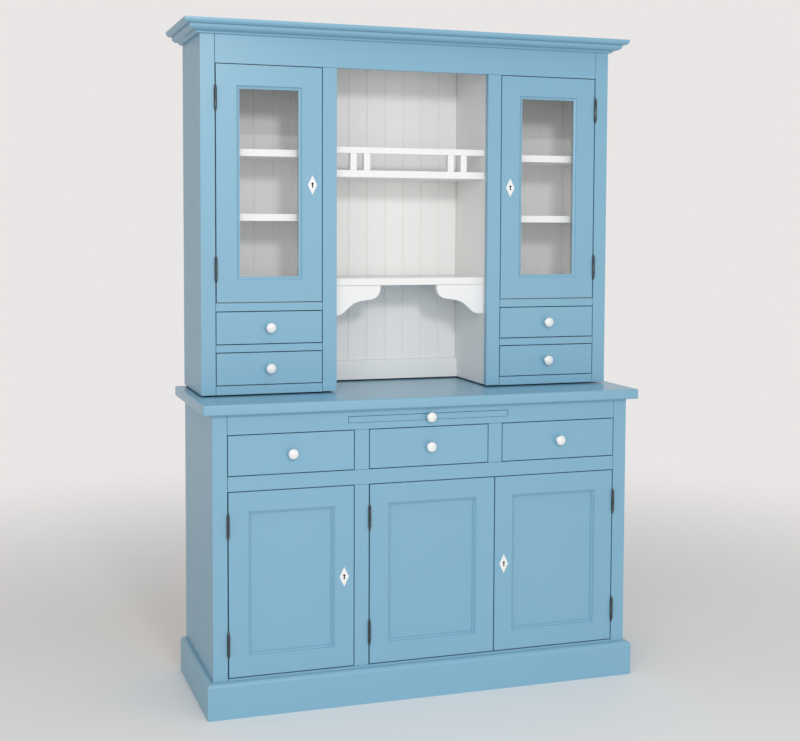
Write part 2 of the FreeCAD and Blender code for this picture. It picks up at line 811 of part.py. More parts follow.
def centre_bay():
    """Plate gallery, middle shelf on shaped brackets, and the skirting at the back."""
    wide = (-bay_panel, bay_panel)
    deep = (shelf_front, plank_front)
    low = hutch_door_low + S.gallery_shelf_rise
    high = low + S.shelf_thickness
    rail_low = high + S.gallery_gap
    rail_depth = (shelf_front, shelf_front + S.gallery_rail_thickness)
    pieces = [
        board("gallery_shelf", wide, deep, (low, high)),
        board("gallery_rail", wide, rail_depth, (rail_low, rail_low + S.gallery_rail_height)),
    ]
    half = S.post_width / 2
    for side, sign in SIDES:
        for name, place in (("outer", S.outer_post_place), ("inner", S.inner_post_place)):
            pieces.append(board(f"gallery_post_{side}_{name}",
                                mirror_range(sign, place - half, place + half), rail_depth,
                                (high, rail_low)))
    node("plate_gallery", pieces)

    shelf_low = hutch_door_low + S.centre_shelf_rise
    pieces = [board("centre_shelf_board", wide, deep, (shelf_low, shelf_low + S.shelf_thickness))]
    for side, sign in SIDES:
        shape = [
            (bay_panel, ZERO),
            (bay_panel, -S.bracket_height),
            (bay_panel - S.bracket_foot, -S.bracket_height, S.bracket_heel_radius, -1),
            (bay_panel - S.bracket_heel_reach, -S.bracket_heel_drop),
            (bay_panel - S.bracket_slope_reach, -S.bracket_slope_drop,
             S.bracket_hollow_radius, 1),
            (bay_panel - S.bracket_hollow_reach, -S.bracket_hollow_drop),
            (bay_panel - S.bracket_nose_reach, -S.bracket_nose_drop, S.bracket_nose_radius, -1),
            (bay_panel - S.bracket_reach, -S.bracket_tip),
            (bay_panel - S.bracket_reach, ZERO),
        ]
        corners = [(corner[0] * sign, corner[1]) + corner[2:3]
                   + tuple(turn * sign for turn in corner[3:]) for corner in shape]
        middle = shelf_front + S.bracket_set_back + S.bracket_thickness / 2
        pieces.append(prism(f"centre_bracket_{side}", "XZ_Plane", corners, S.bracket_thickness,
                            (ZERO, middle, shelf_low)))
    node("centre_shelf", pieces)

    foot = plank_front - S.skirting_thickness
    corners = [
        (plank_front, hutch_low),
        (plank_front, hutch_low + S.skirting_height),
        (foot + S.skirting_round, hutch_low + S.skirting_height, S.skirting_round, 1),
        (foot, hutch_low + S.skirting_height - S.skirting_round),
        (foot, hutch_low),
    ]
    node("centre_skirting", [prism("centre_skirting_board", "YZ_Plane", corners, 2 * bay_panel)])


def glass_section(edge, inwards, front):
    """A hollow strip's section, from the frame's edge inwards and from the face backwards."""
    sweep = S.moulding_sweep
    drop = front + S.moulding_drop
    foot = front + S.glass_moulding_depth
    return [
        (edge, front),
        (edge + S.moulding_lip * inwards, front, sweep, -inwards),
        (edge + sweep * inwards, drop),
        (edge + S.glass_moulding_width * inwards, drop),
        (edge + S.glass_moulding_width * inwards, foot),
        (edge, foot),
    ]


def panel_section(edge, inwards, front):
    """A strip's section with a bead over a roll, from the frame's edge down to the panel."""
    foot = front + S.panel_recess
    quirk = front + S.panel_quirk
    step = front + S.panel_step_drop
    last = front + S.panel_roll_drop
    return [
        (edge, quirk),
        (edge + S.panel_quirk_width * inwards, quirk, S.panel_bead_radius, inwards),
        (edge + S.panel_bead_width * inwards, front + S.panel_bead_drop),
        (edge + S.panel_bead_width * inwards, step),
        (edge + S.panel_step_width * inwards, step, S.panel_roll_radius, inwards),
        (edge + S.panel_roll_width * inwards, last),
        (edge + S.panel_moulding_width * inwards, last),
        (edge + S.panel_moulding_width * inwards, foot),
        (edge, foot),
    ]


def door_moulding(name, x, z, front, width, section):
    """Four mitred strips round an opening in the frame; x and z are the opening's ranges."""

    def swapped(corners):
        """The same section with its two axes exchanged, which also reverses its turns."""
        return [(corner[1], corner[0]) + corner[2:3]
                + tuple(-turn for turn in corner[3:]) for corner in corners]

    low_x, high_x = x
    low_z, high_z = z
    inner_x = (low_x + width, high_x - width)
    inner_z = (low_z + width, high_z - width)
    runs = (
        ("low", "YZ_Plane", swapped(section(low_z, 1, front)), 4 * base_half,
         [(low_x, low_z), (high_x, low_z), (inner_x[1], inner_z[0]), (inner_x[0], inner_z[0])]),
        ("high", "YZ_Plane", swapped(section(high_z, -1, front)), 4 * base_half,
         [(low_x, high_z), (high_x, high_z), (inner_x[1], inner_z[1]), (inner_x[0], inner_z[1])]),
        ("left", "XY_Plane", section(low_x, 1, front), 4 * high_z,
         [(low_x, low_z), (low_x, high_z), (inner_x[0], inner_z[1]), (inner_x[0], inner_z[0])]),
        ("right", "XY_Plane", section(high_x, -1, front), 4 * high_z,
         [(high_x, low_z), (high_x, high_z), (inner_x[1], inner_z[1]), (inner_x[1], inner_z[0])]),
    )
    pieces = []
    for side, role, corners, length, face_shape in runs:
        strip = prism(f"{name}_{side}_run", role, corners, length)
        trim = prism(f"{name}_{side}_trim", "XZ_Plane", face_shape, 4 * S.base_depth)
        pieces.append(common(f"{name}_{side}", strip, trim))
    return pieces


def hinge(name, edge, away, front, height):
    """A butt hinge with finials in the gap between a stile and a door.

    edge is the stile's edge, away the direction from it to the door. Returns the fixed solid,
    with its pin, and the door's solid.
    """
    axis_x = edge + S.hinge_gap / 2 * away
    axis_y = front - S.knuckle_radius - S.knuckle_clear
    half = S.knuckle_half
    clear = S.knuckle_clear
    tip = half + S.finial_length
    waist = half + S.finial_length / 8
    collar = half + S.finial_length / 3
    corners = [
        (ZERO, -tip),
        (S.finial_tip, -tip),
        (S.finial_collar, -collar),
        (S.finial_neck, -waist),
        (S.knuckle_radius, -half),
        (S.knuckle_radius, -clear / 2),
        (S.hinge_pin_radius, -clear / 2),
        (S.hinge_pin_radius, half + clear / 2),
        (S.knuckle_radius, half + clear / 2),
        (S.finial_neck, waist + clear / 2),
        (S.finial_collar, collar + clear / 2),
        (S.finial_tip, tip),
        (ZERO, tip),
    ]
    place = (axis_x, axis_y, height)
    spindle = turned(f"{name}_spindle", "XZ_Plane", "V_Axis", corners, place)

    def leaf(kind, start, lower, upper):
        """A leaf in the gap, with a web to the knuckle over the given heights."""
        near, far = (start, start + S.leaf_thickness)
        plate = board(f"{name}_{kind}_plate", (near, far), (front + clear, front + S.leaf_depth),
                      (height - half, height + half))
        web = board(f"{name}_{kind}_web", (near, far), (axis_y, front + clear),
                    (height + lower, height + upper))
        return [plate, web]

    stile_leaf, door_leaf = edge, edge + (S.hinge_gap - S.leaf_thickness) * away
    if away < 0:
        stile_leaf = edge - S.leaf_thickness
        door_leaf = edge - S.hinge_gap
    fixed_leaf = leaf("stile", stile_leaf, -half, -clear / 2)
    fixed = fuse(f"{name}_fixed", [spindle] + fixed_leaf)
    barrel = rod(f"{name}_barrel", (axis_x, axis_y, height + clear / 2), S.knuckle_radius,
                 half - clear / 2)
    moving = fuse(f"{name}_door_solid",
                  [barrel] + leaf("door", door_leaf, clear / 2, half))
    bore = rod(f"{name}_bore", (axis_x, axis_y, height - half), S.hinge_pin_radius
               + S.hinge_pin_fit, 2 * half + S.overrun)
    return fixed, cut(f"{name}_moving", moving, [bore])


def lock(name, edge, outwards, front, height):
    """A mortised lock: its case, its bolt, the shapes cut for it, and its diamond plate.

    edge is the door's lock edge and outwards the way the bolt leaves it.
    """
    def span(near, far):
        """A range measured inwards from the door's edge."""
        return (edge - far, edge - near) if outwards > 0 else (edge + near, edge + far)

    rear = front + S.door_thickness
    y = rear - S.lock_case_depth / 2
    half_y = S.bolt_thickness / 2
    half_z = S.bolt_height / 2
    play = S.lock_play
    case = board(f"{name}_case_block", span(ZERO, S.lock_case_width),
                 (rear - S.lock_case_depth, rear),
                 (height - S.lock_case_height / 2, height + S.lock_case_height / 2))
    channel = board(f"{name}_channel", span(-S.overrun, S.bolt_back + S.bolt_length + play),
                    (y - half_y - play, y + half_y + play),
                    (height - half_z - play, height + half_z + play))
    keyhole_x = edge - S.lock_backset * outwards
    window = rod(f"{name}_key_window", (keyhole_x, front, height), S.key_window_radius,
                 S.door_thickness - S.lock_play, ALONG_Y)
    pocket = board(f"{name}_pocket", span(-S.overrun, S.lock_case_width + S.pin_fit),
                   (rear - S.lock_case_depth - S.pin_fit, rear + S.overrun),
                   (height - S.lock_case_height / 2 - S.pin_fit,
                    height + S.lock_case_height / 2 + S.pin_fit))
    bolt = board(f"{name}_bolt_bar", span(S.bolt_back, S.bolt_back + S.bolt_length),
                 (y - half_y, y + half_y), (height - half_z, height + half_z))
    slot_half = S.keyhole_slot / 2

    def keyhole(kind, start, length):
        """A keyhole's round, slot and smaller foot, as three cutting shapes."""
        high = height + S.keyhole_rise
        low = height - S.keyhole_foot_drop
        return [
            rod(f"{name}_{kind}_round", (keyhole_x, start, high), S.keyhole_radius, length,
                ALONG_Y),
            board(f"{name}_{kind}_slot", (keyhole_x - slot_half, keyhole_x + slot_half),
                  (start, start + length), (low, high)),
            rod(f"{name}_{kind}_foot", (keyhole_x, start, low), S.keyhole_foot_radius, length,
                ALONG_Y),
        ]

    door_holes = keyhole("stile_keyhole", front - S.overrun, S.door_thickness)
    half_wide = S.plate_width / 2
    half_high = S.plate_height / 2
    diamond = [(half_wide, ZERO), (ZERO, half_high), (-half_wide, ZERO), (ZERO, -half_high)]
    body = prism(f"{name}_plate", "XZ_Plane", diamond, S.plate_thickness,
                 (keyhole_x, front - S.plate_thickness / 2, height))
    document.recompute()
    pad = body.Tip
    outer = min(vertex.Y for vertex in pad.Shape.Vertexes)
    flat = S.plate_bevel.number / 2
    names = [f"Edge{number}" for number, side in enumerate(pad.Shape.Edges, start=1)
             if max(vertex.Y for vertex in side.Vertexes) < outer + flat]
    bevel = body.newObject("PartDesign::Chamfer", f"{name}_plate_bevel")
    bevel.Base = (pad, names)
    bevel.setExpression("Size", S.plate_bevel.formula)
    body.Tip = bevel
    plate = cut(f"{name}_escutcheon_plate", body,
                keyhole("plate_keyhole", front - 2 * S.plate_thickness, 3 * S.plate_thickness))
    return (cut(f"{name}_case", case, [channel, window]), bolt, [pocket] + door_holes, plate)


def framed(name, x, z, front, widths, tools):
    """Stiles and rails of a door; widths are (stile, top rail, bottom rail)."""
    stile, top, bottom = widths
    deep = (front, front + S.door_thickness)
    parts = {
        "left_stile": board(f"{name}_left_stile", (x[0], x[0] + stile), deep, z),
        "right_stile": board(f"{name}_right_stile", (x[1] - stile, x[1]), deep, z),
        "top_rail": board(f"{name}_top_rail", (x[0] + stile, x[1] - stile), deep,
                          (z[1] - top, z[1])),
        "bottom_rail": board(f"{name}_bottom_rail", (x[0] + stile, x[1] - stile), deep,
                             (z[0], z[0] + bottom)),
    }
    return [cut(f"{name}_{key}_worked", part, tools(key)) for key, part in parts.items()]


def base_door(side, x, hinge_side, lock_side):
    """A panelled base door; returns its fixed hinge solids."""
    name = f"base_{side}_door"
    seam = S.door_gap if side == "left" else S.door_gap / 2
    low = x[0] + (S.hinge_gap if hinge_side < 0 else seam)
    high = x[1] - (S.hinge_gap if hinge_side > 0 else seam)
    z = (door_low + S.door_gap, door_high - S.door_gap)
    width = S.base_door_frame
    opening_x = (low + width, high - width)
    opening_z = (z[0] + width, z[1] - width)
    tongue = S.panel_tongue
    plate_y = (face + S.panel_recess, face + S.panel_recess + S.panel_plate)
    panel = board(f"{name}_panel", (opening_x[0] - tongue, opening_x[1] + tongue), plate_y,
                  (opening_z[0] - tongue, opening_z[1] + tongue))
    lock_parts = None
    height = door_low + S.base_lock_rise
    if lock_side:
        lock_parts = lock(f"base_{side}", high if lock_side > 0 else low, lock_side, face, height)
    lock_stile = "right_stile" if lock_side > 0 else "left_stile"

    def tools(key):
        """The panel's groove, and the lock's shapes in the lock stile."""
        grown = tongue + S.panel_play
        shapes = [board(f"{name}_{key}_groove", (opening_x[0] - grown, opening_x[1] + grown),
                        (plate_y[0] - S.panel_play, plate_y[1] + S.panel_play),
                        (opening_z[0] - grown, opening_z[1] + grown))]
        if lock_parts and key == lock_stile:
            shapes += lock_parts[2]
        if side == "middle" and key == "right_stile":
            shapes.append(lock_mortise("base_right_mortise", high, -1, face, height))
        return shapes

    frame = framed(name, (low, high), z, face, (width, width, width), tools)
    moulding = door_moulding(f"{name}_moulding", opening_x, opening_z, face,
                             S.panel_moulding_width, panel_section)
    node(f"{name}_leaf", frame + [panel] + moulding)
    edge = x[0] if hinge_side < 0 else x[1]
    hinges = [hinge(f"{name}_hinge_{place}", edge, -hinge_side, face, z_place)
              for place, z_place in (("low", door_low + S.base_hinge_inset),
                                     ("high", door_high - S.base_hinge_inset))]
    hardware = [pair[1] for pair in hinges]
    if lock_parts:
        hardware.append(lock_parts[0])
        node(f"{name}_escutcheon", [lock_parts[3]])
        node(f"{name}_lock_bolt", [lock_parts[1]])
    if side == "middle":
        hardware += slide_bolt(high)
    node(f"{name}_hardware", hardware)
    return [pair[0] for pair in hinges]


def slide_bolt(edge):
    """The bolt inside the middle door: a plate with two keepers, and the rod that they guide."""
    x = edge - S.slide_rod_inset
    rear = face + S.door_thickness
    y = rear + S.slide_rod_standoff
    top = door_high - S.stop_drop - S.slide_rod_drop
    bottom = top - S.slide_rod_length
    half = S.slide_plate_width / 2
    plate_high = top - S.slide_rod_drop
    plate = board("slide_bolt_plate", (x - half, x + half), (rear, rear + S.slide_plate),
                  (plate_high - S.slide_plate_height, plate_high))
    bore = rod("slide_bolt_bore", (x, y, bottom - S.overrun),
               S.slide_rod_radius + S.slide_rod_fit, S.slide_rod_length + 2 * S.overrun)
    keepers = []
    keeper_half = S.slide_rod_radius + S.slide_plate
    for place, low in (("low", plate_high - S.slide_plate_height),
                       ("high", plate_high - S.slide_keeper)):
        keepers.append(board(f"slide_bolt_keeper_{place}", (x - keeper_half, x + keeper_half),
                             (rear + S.slide_plate, y + keeper_half),
                             (low, low + S.slide_keeper)))
    body = cut("slide_bolt_guide", fuse("slide_bolt_guide_solid", [plate] + keepers), [bore])
    thumb_z = plate_high - S.slide_plate_height / 2 - S.slide_keeper / 2
    thumb = rod("slide_bolt_thumb", (x, y, thumb_z), S.slide_thumb_radius,
                S.slide_rod_radius + S.slide_thumb_length, ALONG_Y)
    shaft = rod("slide_bolt_rod", (x, y, bottom), S.slide_rod_radius, S.slide_rod_length)
    node("base_middle_door_slide_bolt", [fuse("slide_bolt_moving", [shaft, thumb])])
    return [body]


def hutch_door(side, sign):
    """A glazed hutch door, hinged on the outer stile; returns its fixed hinge solids."""
    name = f"hutch_{side}_door"
    x = mirror_range(sign, inner_edge + S.door_gap, hutch_edge - S.hinge_gap)
    z = (hutch_door_low + S.door_gap, hutch_door_high - S.door_gap)
    stile, top, bottom = S.hutch_door_stile, S.hutch_door_top, S.hutch_door_bottom
    opening_x = (x[0] + stile, x[1] - stile)
    opening_z = (z[0] + bottom, z[1] - top)
    height = hutch_door_low + S.hutch_lock_rise
    lock_edge = x[0] if sign > 0 else x[1]
    case, bolt, pockets, plate = lock(f"hutch_{side}", lock_edge, -sign, hutch_face, height)
    lock_stile = "left_stile" if sign > 0 else "right_stile"
    glass_front = hutch_face + S.glass_place
    glass_back = glass_front + S.glass_thickness
    rear = hutch_face + S.door_thickness
    rebate = S.glass_rebate

    def tools(key):
        """The rebate for the glass, and the lock's shapes in the lock stile."""
        shapes = [board(f"{name}_{key}_rebate", (opening_x[0] - rebate, opening_x[1] + rebate),
                        (glass_front, rear + S.overrun),
                        (opening_z[0] - rebate, opening_z[1] + rebate))]
        return shapes + (pockets if key == lock_stile else [])

    frame = framed(name, x, z, hutch_face, (stile, top, bottom), tools)
    moulding = door_moulding(f"{name}_moulding", opening_x, opening_z, hutch_face,
                             S.glass_moulding_width, glass_section)
    outer_x = (opening_x[0] - rebate, opening_x[1] + rebate)
    outer_z = (opening_z[0] - rebate, opening_z[1] + rebate)
    bead_y = (glass_back, rear)
    beads = [
        board(f"{name}_bead_low", outer_x, bead_y, (outer_z[0], outer_z[0] + rebate)),
        board(f"{name}_bead_high", outer_x, bead_y, (outer_z[1] - rebate, outer_z[1])),
        board(f"{name}_bead_left", (outer_x[0], outer_x[0] + rebate), bead_y,
              (outer_z[0] + rebate, outer_z[1] - rebate)),
        board(f"{name}_bead_right", (outer_x[1] - rebate, outer_x[1]), bead_y,
              (outer_z[0] + rebate, outer_z[1] - rebate)),
    ]
    node(f"{name}_frame", frame + moulding + beads)
    play = S.glass_play
    node(f"{name}_glass", [board(f"{name}_pane", (outer_x[0] + play, outer_x[1] - play),
                                 (glass_front, glass_back),
                                 (outer_z[0] + play, outer_z[1] - play))])
    hinges = [hinge(f"{name}_hinge_{place}", hutch_edge * sign, -sign, hutch_face, z_place)
              for place, z_place in (("low", hutch_door_low + S.hutch_hinge_inset),
                                     ("high", hutch_door_high - S.hutch_hinge_inset))]
    node(f"{name}_hardware", [pair[1] for pair in hinges] + [case])
    node(f"{name}_escutcheon", [plate])
    node(f"{name}_lock_bolt", [bolt])
    return [pair[0] for pair in hinges]


def knob(label, x, front, z):
    """A turned knob with a neck, a domed head and a tenon into its board."""
    rise = S.knob_reach - S.knob_edge_reach
    dome_radius = (rise + S.knob_radius * S.knob_radius / rise) / 2
    corners = [
        (S.knob_tenon_length, ZERO),
        (S.knob_tenon_length, S.knob_tenon_radius),
        (ZERO, S.knob_tenon_radius),
        (ZERO, S.knob_base_radius),
        (-S.knob_base_reach, S.knob_base_radius),
        (-S.knob_base_reach, S.knob_neck_radius),
        (-S.knob_neck_reach, S.knob_neck_radius),
        (-S.knob_shoulder_reach, S.knob_radius),
        (-S.knob_edge_reach, S.knob_radius, dome_radius, 1),
        (-S.knob_reach, ZERO),
    ]
    node(label, [turned(f"{label}_turned", "YZ_Plane", "H_Axis", corners, (x, front, z))])


def drawer(label, x, z, front, rear):
    """A drawer box with its knob; x and z are the opening's ranges, front to rear its depth."""
    gap = S.door_gap
    middle_x = (x[0] + x[1]) / 2
    middle_z = (z[0] + z[1]) / 2
    front_back = front + S.drawer_front
    outer = (x[0] + S.drawer_side_play, x[1] - S.drawer_side_play)
    inner = (outer[0] + S.drawer_side, outer[1] - S.drawer_side)
    low = z[0] + S.slide_play
    high = z[1] - S.drawer_head_room
    groove_low = low + S.drawer_groove_rise
    groove_high = groove_low + S.drawer_bottom
    play = S.panel_play
    plain = board(f"{label}_front_board", (x[0] + gap, x[1] - gap), (front, front_back),
                  (z[0] + gap, z[1] - gap))
    hole = rod(f"{label}_knob_hole", (middle_x, front - S.overrun, middle_z),
               S.knob_tenon_radius + S.pin_fit, S.knob_tenon_length + S.overrun, ALONG_Y)
    groove = board(f"{label}_groove",
                   (inner[0] - S.drawer_groove - play, inner[1] + S.drawer_groove + play),
                   (front_back - S.drawer_groove - play, rear + S.overrun),
                   (groove_low - play, groove_high + play))
    bottom = board(f"{label}_bottom",
                   (inner[0] - S.drawer_groove, inner[1] + S.drawer_groove),
                   (front_back - S.drawer_groove, rear), (groove_low, groove_high))
    sides = []
    for end, reach in (("left", (outer[0], inner[0])), ("right", (inner[1], outer[1]))):
        side = board(f"{label}_{end}_side", reach, (front_back, rear), (low, high))
        sides.append(cut(f"{label}_{end}_side_grooved", side, [groove]))
    back_board = board(f"{label}_back", inner, (rear - S.drawer_side, rear),
                       (groove_high + play, high))
    node(label, [cut(f"{label}_front", plain, [hole, groove]), bottom, back_board] + sides)
    knob(f"{label}_knob", middle_x, front, middle_z)


def pull_out_board():
    """The work board in the top rail, with a lipping that carries its knob."""
    x = (-board_half, board_half)
    z = (board_low, board_high)
    lipping_back = face + S.board_lipping
    middle = (board_low + board_high) / 2
    lipping = board("board_lipping_strip", x, (face, lipping_back), z)
    hole = rod("board_knob_hole", (ZERO, face - S.overrun, middle),
               S.knob_tenon_radius + S.pin_fit, S.knob_tenon_length + S.overrun, ALONG_Y)
    panel = board("board_panel", x, (lipping_back, base_back_face - S.board_back_room), z)
    node("pull_out_board", [cut("board_lipping", lipping, [hole]), panel])
    knob("pull_out_board_knob", ZERO, face, middle)


base_pins = base_carcass()
base_runners()
base_plinth()
countertop()
hutch_pins = hutch_carcass()
hutch_cornice()
centre_bay()
node("shelf_pins", base_pins + hutch_pins)

fixed_hinges = base_door("left", (-base_edge, -divider_out), -1, 1)
fixed_hinges += base_door("middle", (-divider_in, S.divider_place), -1, 0)
fixed_hinges += base_door("right", (S.divider_place, base_edge), 1, -1)
for side_name, side_sign in SIDES:
    fixed_hinges += hutch_door(side_name, side_sign)
node("hinge_frame_leaves", fixed_hinges)

BASE_DRAWERS = (
    ("left", (-base_edge, -divider_out)),
    ("middle", (-divider_in, divider_in)),
    ("right", (divider_out, base_edge)),
)
for side_name, opening in BASE_DRAWERS:
    drawer(f"base_{side_name}_drawer", opening, (drawer_low, drawer_high), face,
           base_back_face - S.drawer_back_room)
small_rear = plank_front - S.small_drawer_back_room
for side_name, side_sign in SIDES:
    opening = mirror_range(side_sign, inner_edge, hutch_edge)
    for level, heights in (("lower", (small_low, small_high)), ("upper", (upper_low, upper_high))):
        drawer(f"hutch_{side_name}_{level}_drawer", opening, heights, hutch_face, small_rear)
pull_out_board()

document.recompute()
for item in document.Objects:
    if "Invalid" in item.State or "Error" in item.State:
        raise RuntimeError(f"{item.Name} failed: {item.State}")
for piece in nodes:
    if piece.Shape.isNull() or not piece.Shape.isValid():
        raise RuntimeError(f"{piece.Label} has no valid shape")

os.makedirs("parts", exist_ok=True)
for piece in nodes:
    piece.Shape.exportStep(f"parts/{piece.Label}.step")
print(len(nodes), "sub-parts,", sum(len(piece.Shape.Solids) for piece in nodes), "solids")
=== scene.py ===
"""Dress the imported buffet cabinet: eased joinery, paint, turned knobs, glass, iron and light.

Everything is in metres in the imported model's frame: +Z up, +X to the right, +Y to the back.
"""
from __future__ import annotations

import json
import logging
import math
from dataclasses import dataclass, replace
from enum import Enum
from typing import Callable, Iterable, Optional, Sequence, Union

import bmesh
import bpy
from mathutils import Matrix, Vector

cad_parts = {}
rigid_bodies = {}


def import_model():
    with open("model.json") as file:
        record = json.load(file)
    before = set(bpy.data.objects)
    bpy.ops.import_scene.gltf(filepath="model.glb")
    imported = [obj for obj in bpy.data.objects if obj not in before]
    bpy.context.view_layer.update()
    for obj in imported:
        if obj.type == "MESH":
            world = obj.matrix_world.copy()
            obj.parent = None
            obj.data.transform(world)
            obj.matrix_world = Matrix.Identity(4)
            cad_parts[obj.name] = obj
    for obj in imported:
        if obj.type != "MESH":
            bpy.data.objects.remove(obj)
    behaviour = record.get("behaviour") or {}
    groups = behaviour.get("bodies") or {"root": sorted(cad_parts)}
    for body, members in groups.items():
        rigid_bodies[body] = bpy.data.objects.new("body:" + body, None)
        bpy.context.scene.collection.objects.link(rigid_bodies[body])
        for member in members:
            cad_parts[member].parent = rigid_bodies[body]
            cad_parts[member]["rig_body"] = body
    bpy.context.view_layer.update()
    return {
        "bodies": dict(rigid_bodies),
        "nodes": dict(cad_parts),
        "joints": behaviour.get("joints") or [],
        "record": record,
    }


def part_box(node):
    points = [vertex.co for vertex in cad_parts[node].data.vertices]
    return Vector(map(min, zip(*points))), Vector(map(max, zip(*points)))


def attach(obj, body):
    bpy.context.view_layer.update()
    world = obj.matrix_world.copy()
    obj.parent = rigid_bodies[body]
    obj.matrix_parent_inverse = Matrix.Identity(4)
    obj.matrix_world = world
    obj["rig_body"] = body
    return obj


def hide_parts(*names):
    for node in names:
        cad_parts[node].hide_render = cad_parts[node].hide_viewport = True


LOG = logging.getLogger("buffet_cabinet")

Number = Union["Value", float]
Colour = tuple[float, float, float]
Point = tuple[float, float, float]
Box = tuple[Vector, Vector]
Spot = tuple[Point, Point]
Socket = bpy.types.NodeSocket
Piece = bpy.types.Object
Shape = bmesh.types.BMesh

SHARP = math.radians(32)
WEIGHT = "bevel_weight_edge"


class Axis(Enum):
    """One of the model's axes."""

    X = 0
    Y = 1
    Z = 2


class Value:
    """A number on a node's socket; arithmetic on it adds Math nodes to its tree."""

    def __init__(self, graph: "Graph", socket: Socket) -> None:
        """Hold a socket and the graph that it belongs to."""
        self.graph = graph
        self.socket = socket

    def __add__(self, other: Number) -> "Value":
        """Add a number."""
        return self.graph.math("ADD", self, other)

    def __sub__(self, other: Number) -> "Value":
        """Take a number away."""
        return self.graph.math("SUBTRACT", self, other)

    def __rsub__(self, other: Number) -> "Value":
        """Take this from a number."""
        return self.graph.math("SUBTRACT", other, self)

    def __mul__(self, other: Number) -> "Value":
        """Multiply by a number."""
        return self.graph.math("MULTIPLY", self, other)

    def __gt__(self, other: Number) -> "Value":
        """One where this is greater than the other, else zero."""
        return self.graph.math("GREATER_THAN", self, other)

    def __lt__(self, other: Number) -> "Value":
        """One where this is less than the other, else zero."""
        return self.graph.math("LESS_THAN", self, other)

    __radd__ = __add__
    __rmul__ = __mul__


class Graph:
    """Adds nodes to one shader or geometry tree."""

    def __init__(self, tree: bpy.types.NodeTree) -> None:
        """Start from a tree, with whatever it holds."""
        self.tree = tree

    @classmethod
    def emptied(cls, holder: Union[bpy.types.Material, bpy.types.World]) -> "Graph":
        """Start from a material's or a world's own tree, with no nodes left in it.

        Args:
            holder: The material or world.

        Returns:
            Its graph.
        """
        holder.use_nodes = True
        holder.node_tree.nodes.clear()
        return cls(holder.node_tree)

    def add(self, kind: str, settings: Optional[dict] = None,
            inputs: Optional[dict] = None) -> bpy.types.Node:
        """Add one node.

        Args:
            kind: The node's type name.
            settings: Its properties, set first.
            inputs: Numbers, colours, sockets or values by the input's name or number.

        Returns:
            The new node.
        """
        node = self.tree.nodes.new(kind)
        for name, setting in (settings or {}).items():
            setattr(node, name, setting)
        for key, given in (inputs or {}).items():
            source = given.socket if isinstance(given, Value) else given
            if isinstance(source, Socket):
                self.tree.links.new(source, node.inputs[key])
            else:
                node.inputs[key].default_value = source
        return node

    def math(self, operation: str, *numbers: Number) -> Value:
        """Join numbers by a Math node."""
        node = self.add("ShaderNodeMath", {"operation": operation}, dict(enumerate(numbers)))
        return Value(self, node.outputs[0])

    def noise(self, place: Socket, scale: float, detail: float) -> Value:
        """Soft noise around one half at a place."""
        node = self.add("ShaderNodeTexNoise",
                        inputs={"Vector": place, "Scale": scale, "Detail": detail})
        return Value(self, node.outputs[0])

    def stretched(self, place: Socket, scale: Point) -> Socket:
        """A place multiplied axis by axis."""
        node = self.add("ShaderNodeVectorMath", {"operation": "MULTIPLY"}, {0: place, 1: scale})
        return node.outputs[0]

    def mix(self, share: Number, first: object, second: object) -> Socket:
        """Mix two colours.

        Args:
            share: Share of the second.
            first: A colour or its socket.
            second: Another.

        Returns:
            The mixed colour's socket.
        """
        factor, start, end, result = 0, 6, 7, 2
        node = self.add("ShaderNodeMix", {"data_type": "RGBA"},
                        {factor: share, start: first, end: second})
        return node.outputs[result]

    def relief(self, height: Number, strength: float, depth: float) -> Socket:
        """The normal of a surface that a height raises and sinks."""
        return self.add("ShaderNodeBump", inputs={
            "Strength": strength, "Distance": depth, "Height": height}).outputs[0]

    def coat(self, colour: Socket, roughness: Number, normal: Socket,
             metallic: Number = 0.0) -> Socket:
        """The shader of an opaque surface."""
        return self.add("ShaderNodeBsdfPrincipled", inputs={
            "Base Color": colour, "Roughness": roughness, "Metallic": metallic,
            "Normal": normal}).outputs[0]

    def vector(self, x: Number = 0.0, y: Number = 0.0, z: Number = 0.0) -> Socket:
        """A vector of three numbers."""
        return self.add("ShaderNodeCombineXYZ", inputs={0: x, 1: y, 2: z}).outputs[0]

    def axes(self, place: Socket) -> list[Value]:
        """The three numbers of a place."""
        node = self.add("ShaderNodeSeparateXYZ", inputs={0: place})
        return [Value(self, socket) for socket in node.outputs]


def opaque(colour: Colour, factor: float = 1.0) -> tuple[float, float, float, float]:
    """A colour times a factor, with an alpha of one."""
    return (*(min(channel * factor, 1.0) for channel in colour), 1.0)


class Finish:
    """A surface finish, built as a material on first use."""

    name: str

    def surface(self, graph: Graph, place: Socket) -> Socket:
        """Add the finish's nodes and give the shader socket; each finish has its own."""
        raise NotImplementedError

    def material(self) -> bpy.types.Material:
        """The finish's material.

        Returns:
            The material, made on the first call and the same one afterwards.
        """
        known = bpy.data.materials.get(self.name)
        if known:
            return known
        material = bpy.data.materials.new(self.name)
        graph = Graph.emptied(material)
        place = graph.add("ShaderNodeTexCoord").outputs["Object"]
        graph.add("ShaderNodeOutputMaterial", inputs={"Surface": self.surface(graph, place)})
        return material


@dataclass(frozen=True)
class Zone:
    """The part of a piece that takes a second colour, the same left and right."""

    colour: Colour
    limits: tuple[tuple[Axis, float, float], ...]
    dulled: float = 0.0

    def mask(self, graph: Graph, place: Socket) -> Number:
        """Find the zone on a surface.

        Args:
            graph: The material's graph.
            place: Object coordinates in metres.

        Returns:
            One between every axis's two limits, else zero.
        """
        along = graph.axes(place)
        along[Axis.X.value] = graph.math("ABSOLUTE", along[Axis.X.value])
        mask: Number = 1.0
        for axis, start, end in self.limits:
            mask = (along[axis.value] > start) * (along[axis.value] < end) * mask
        return mask


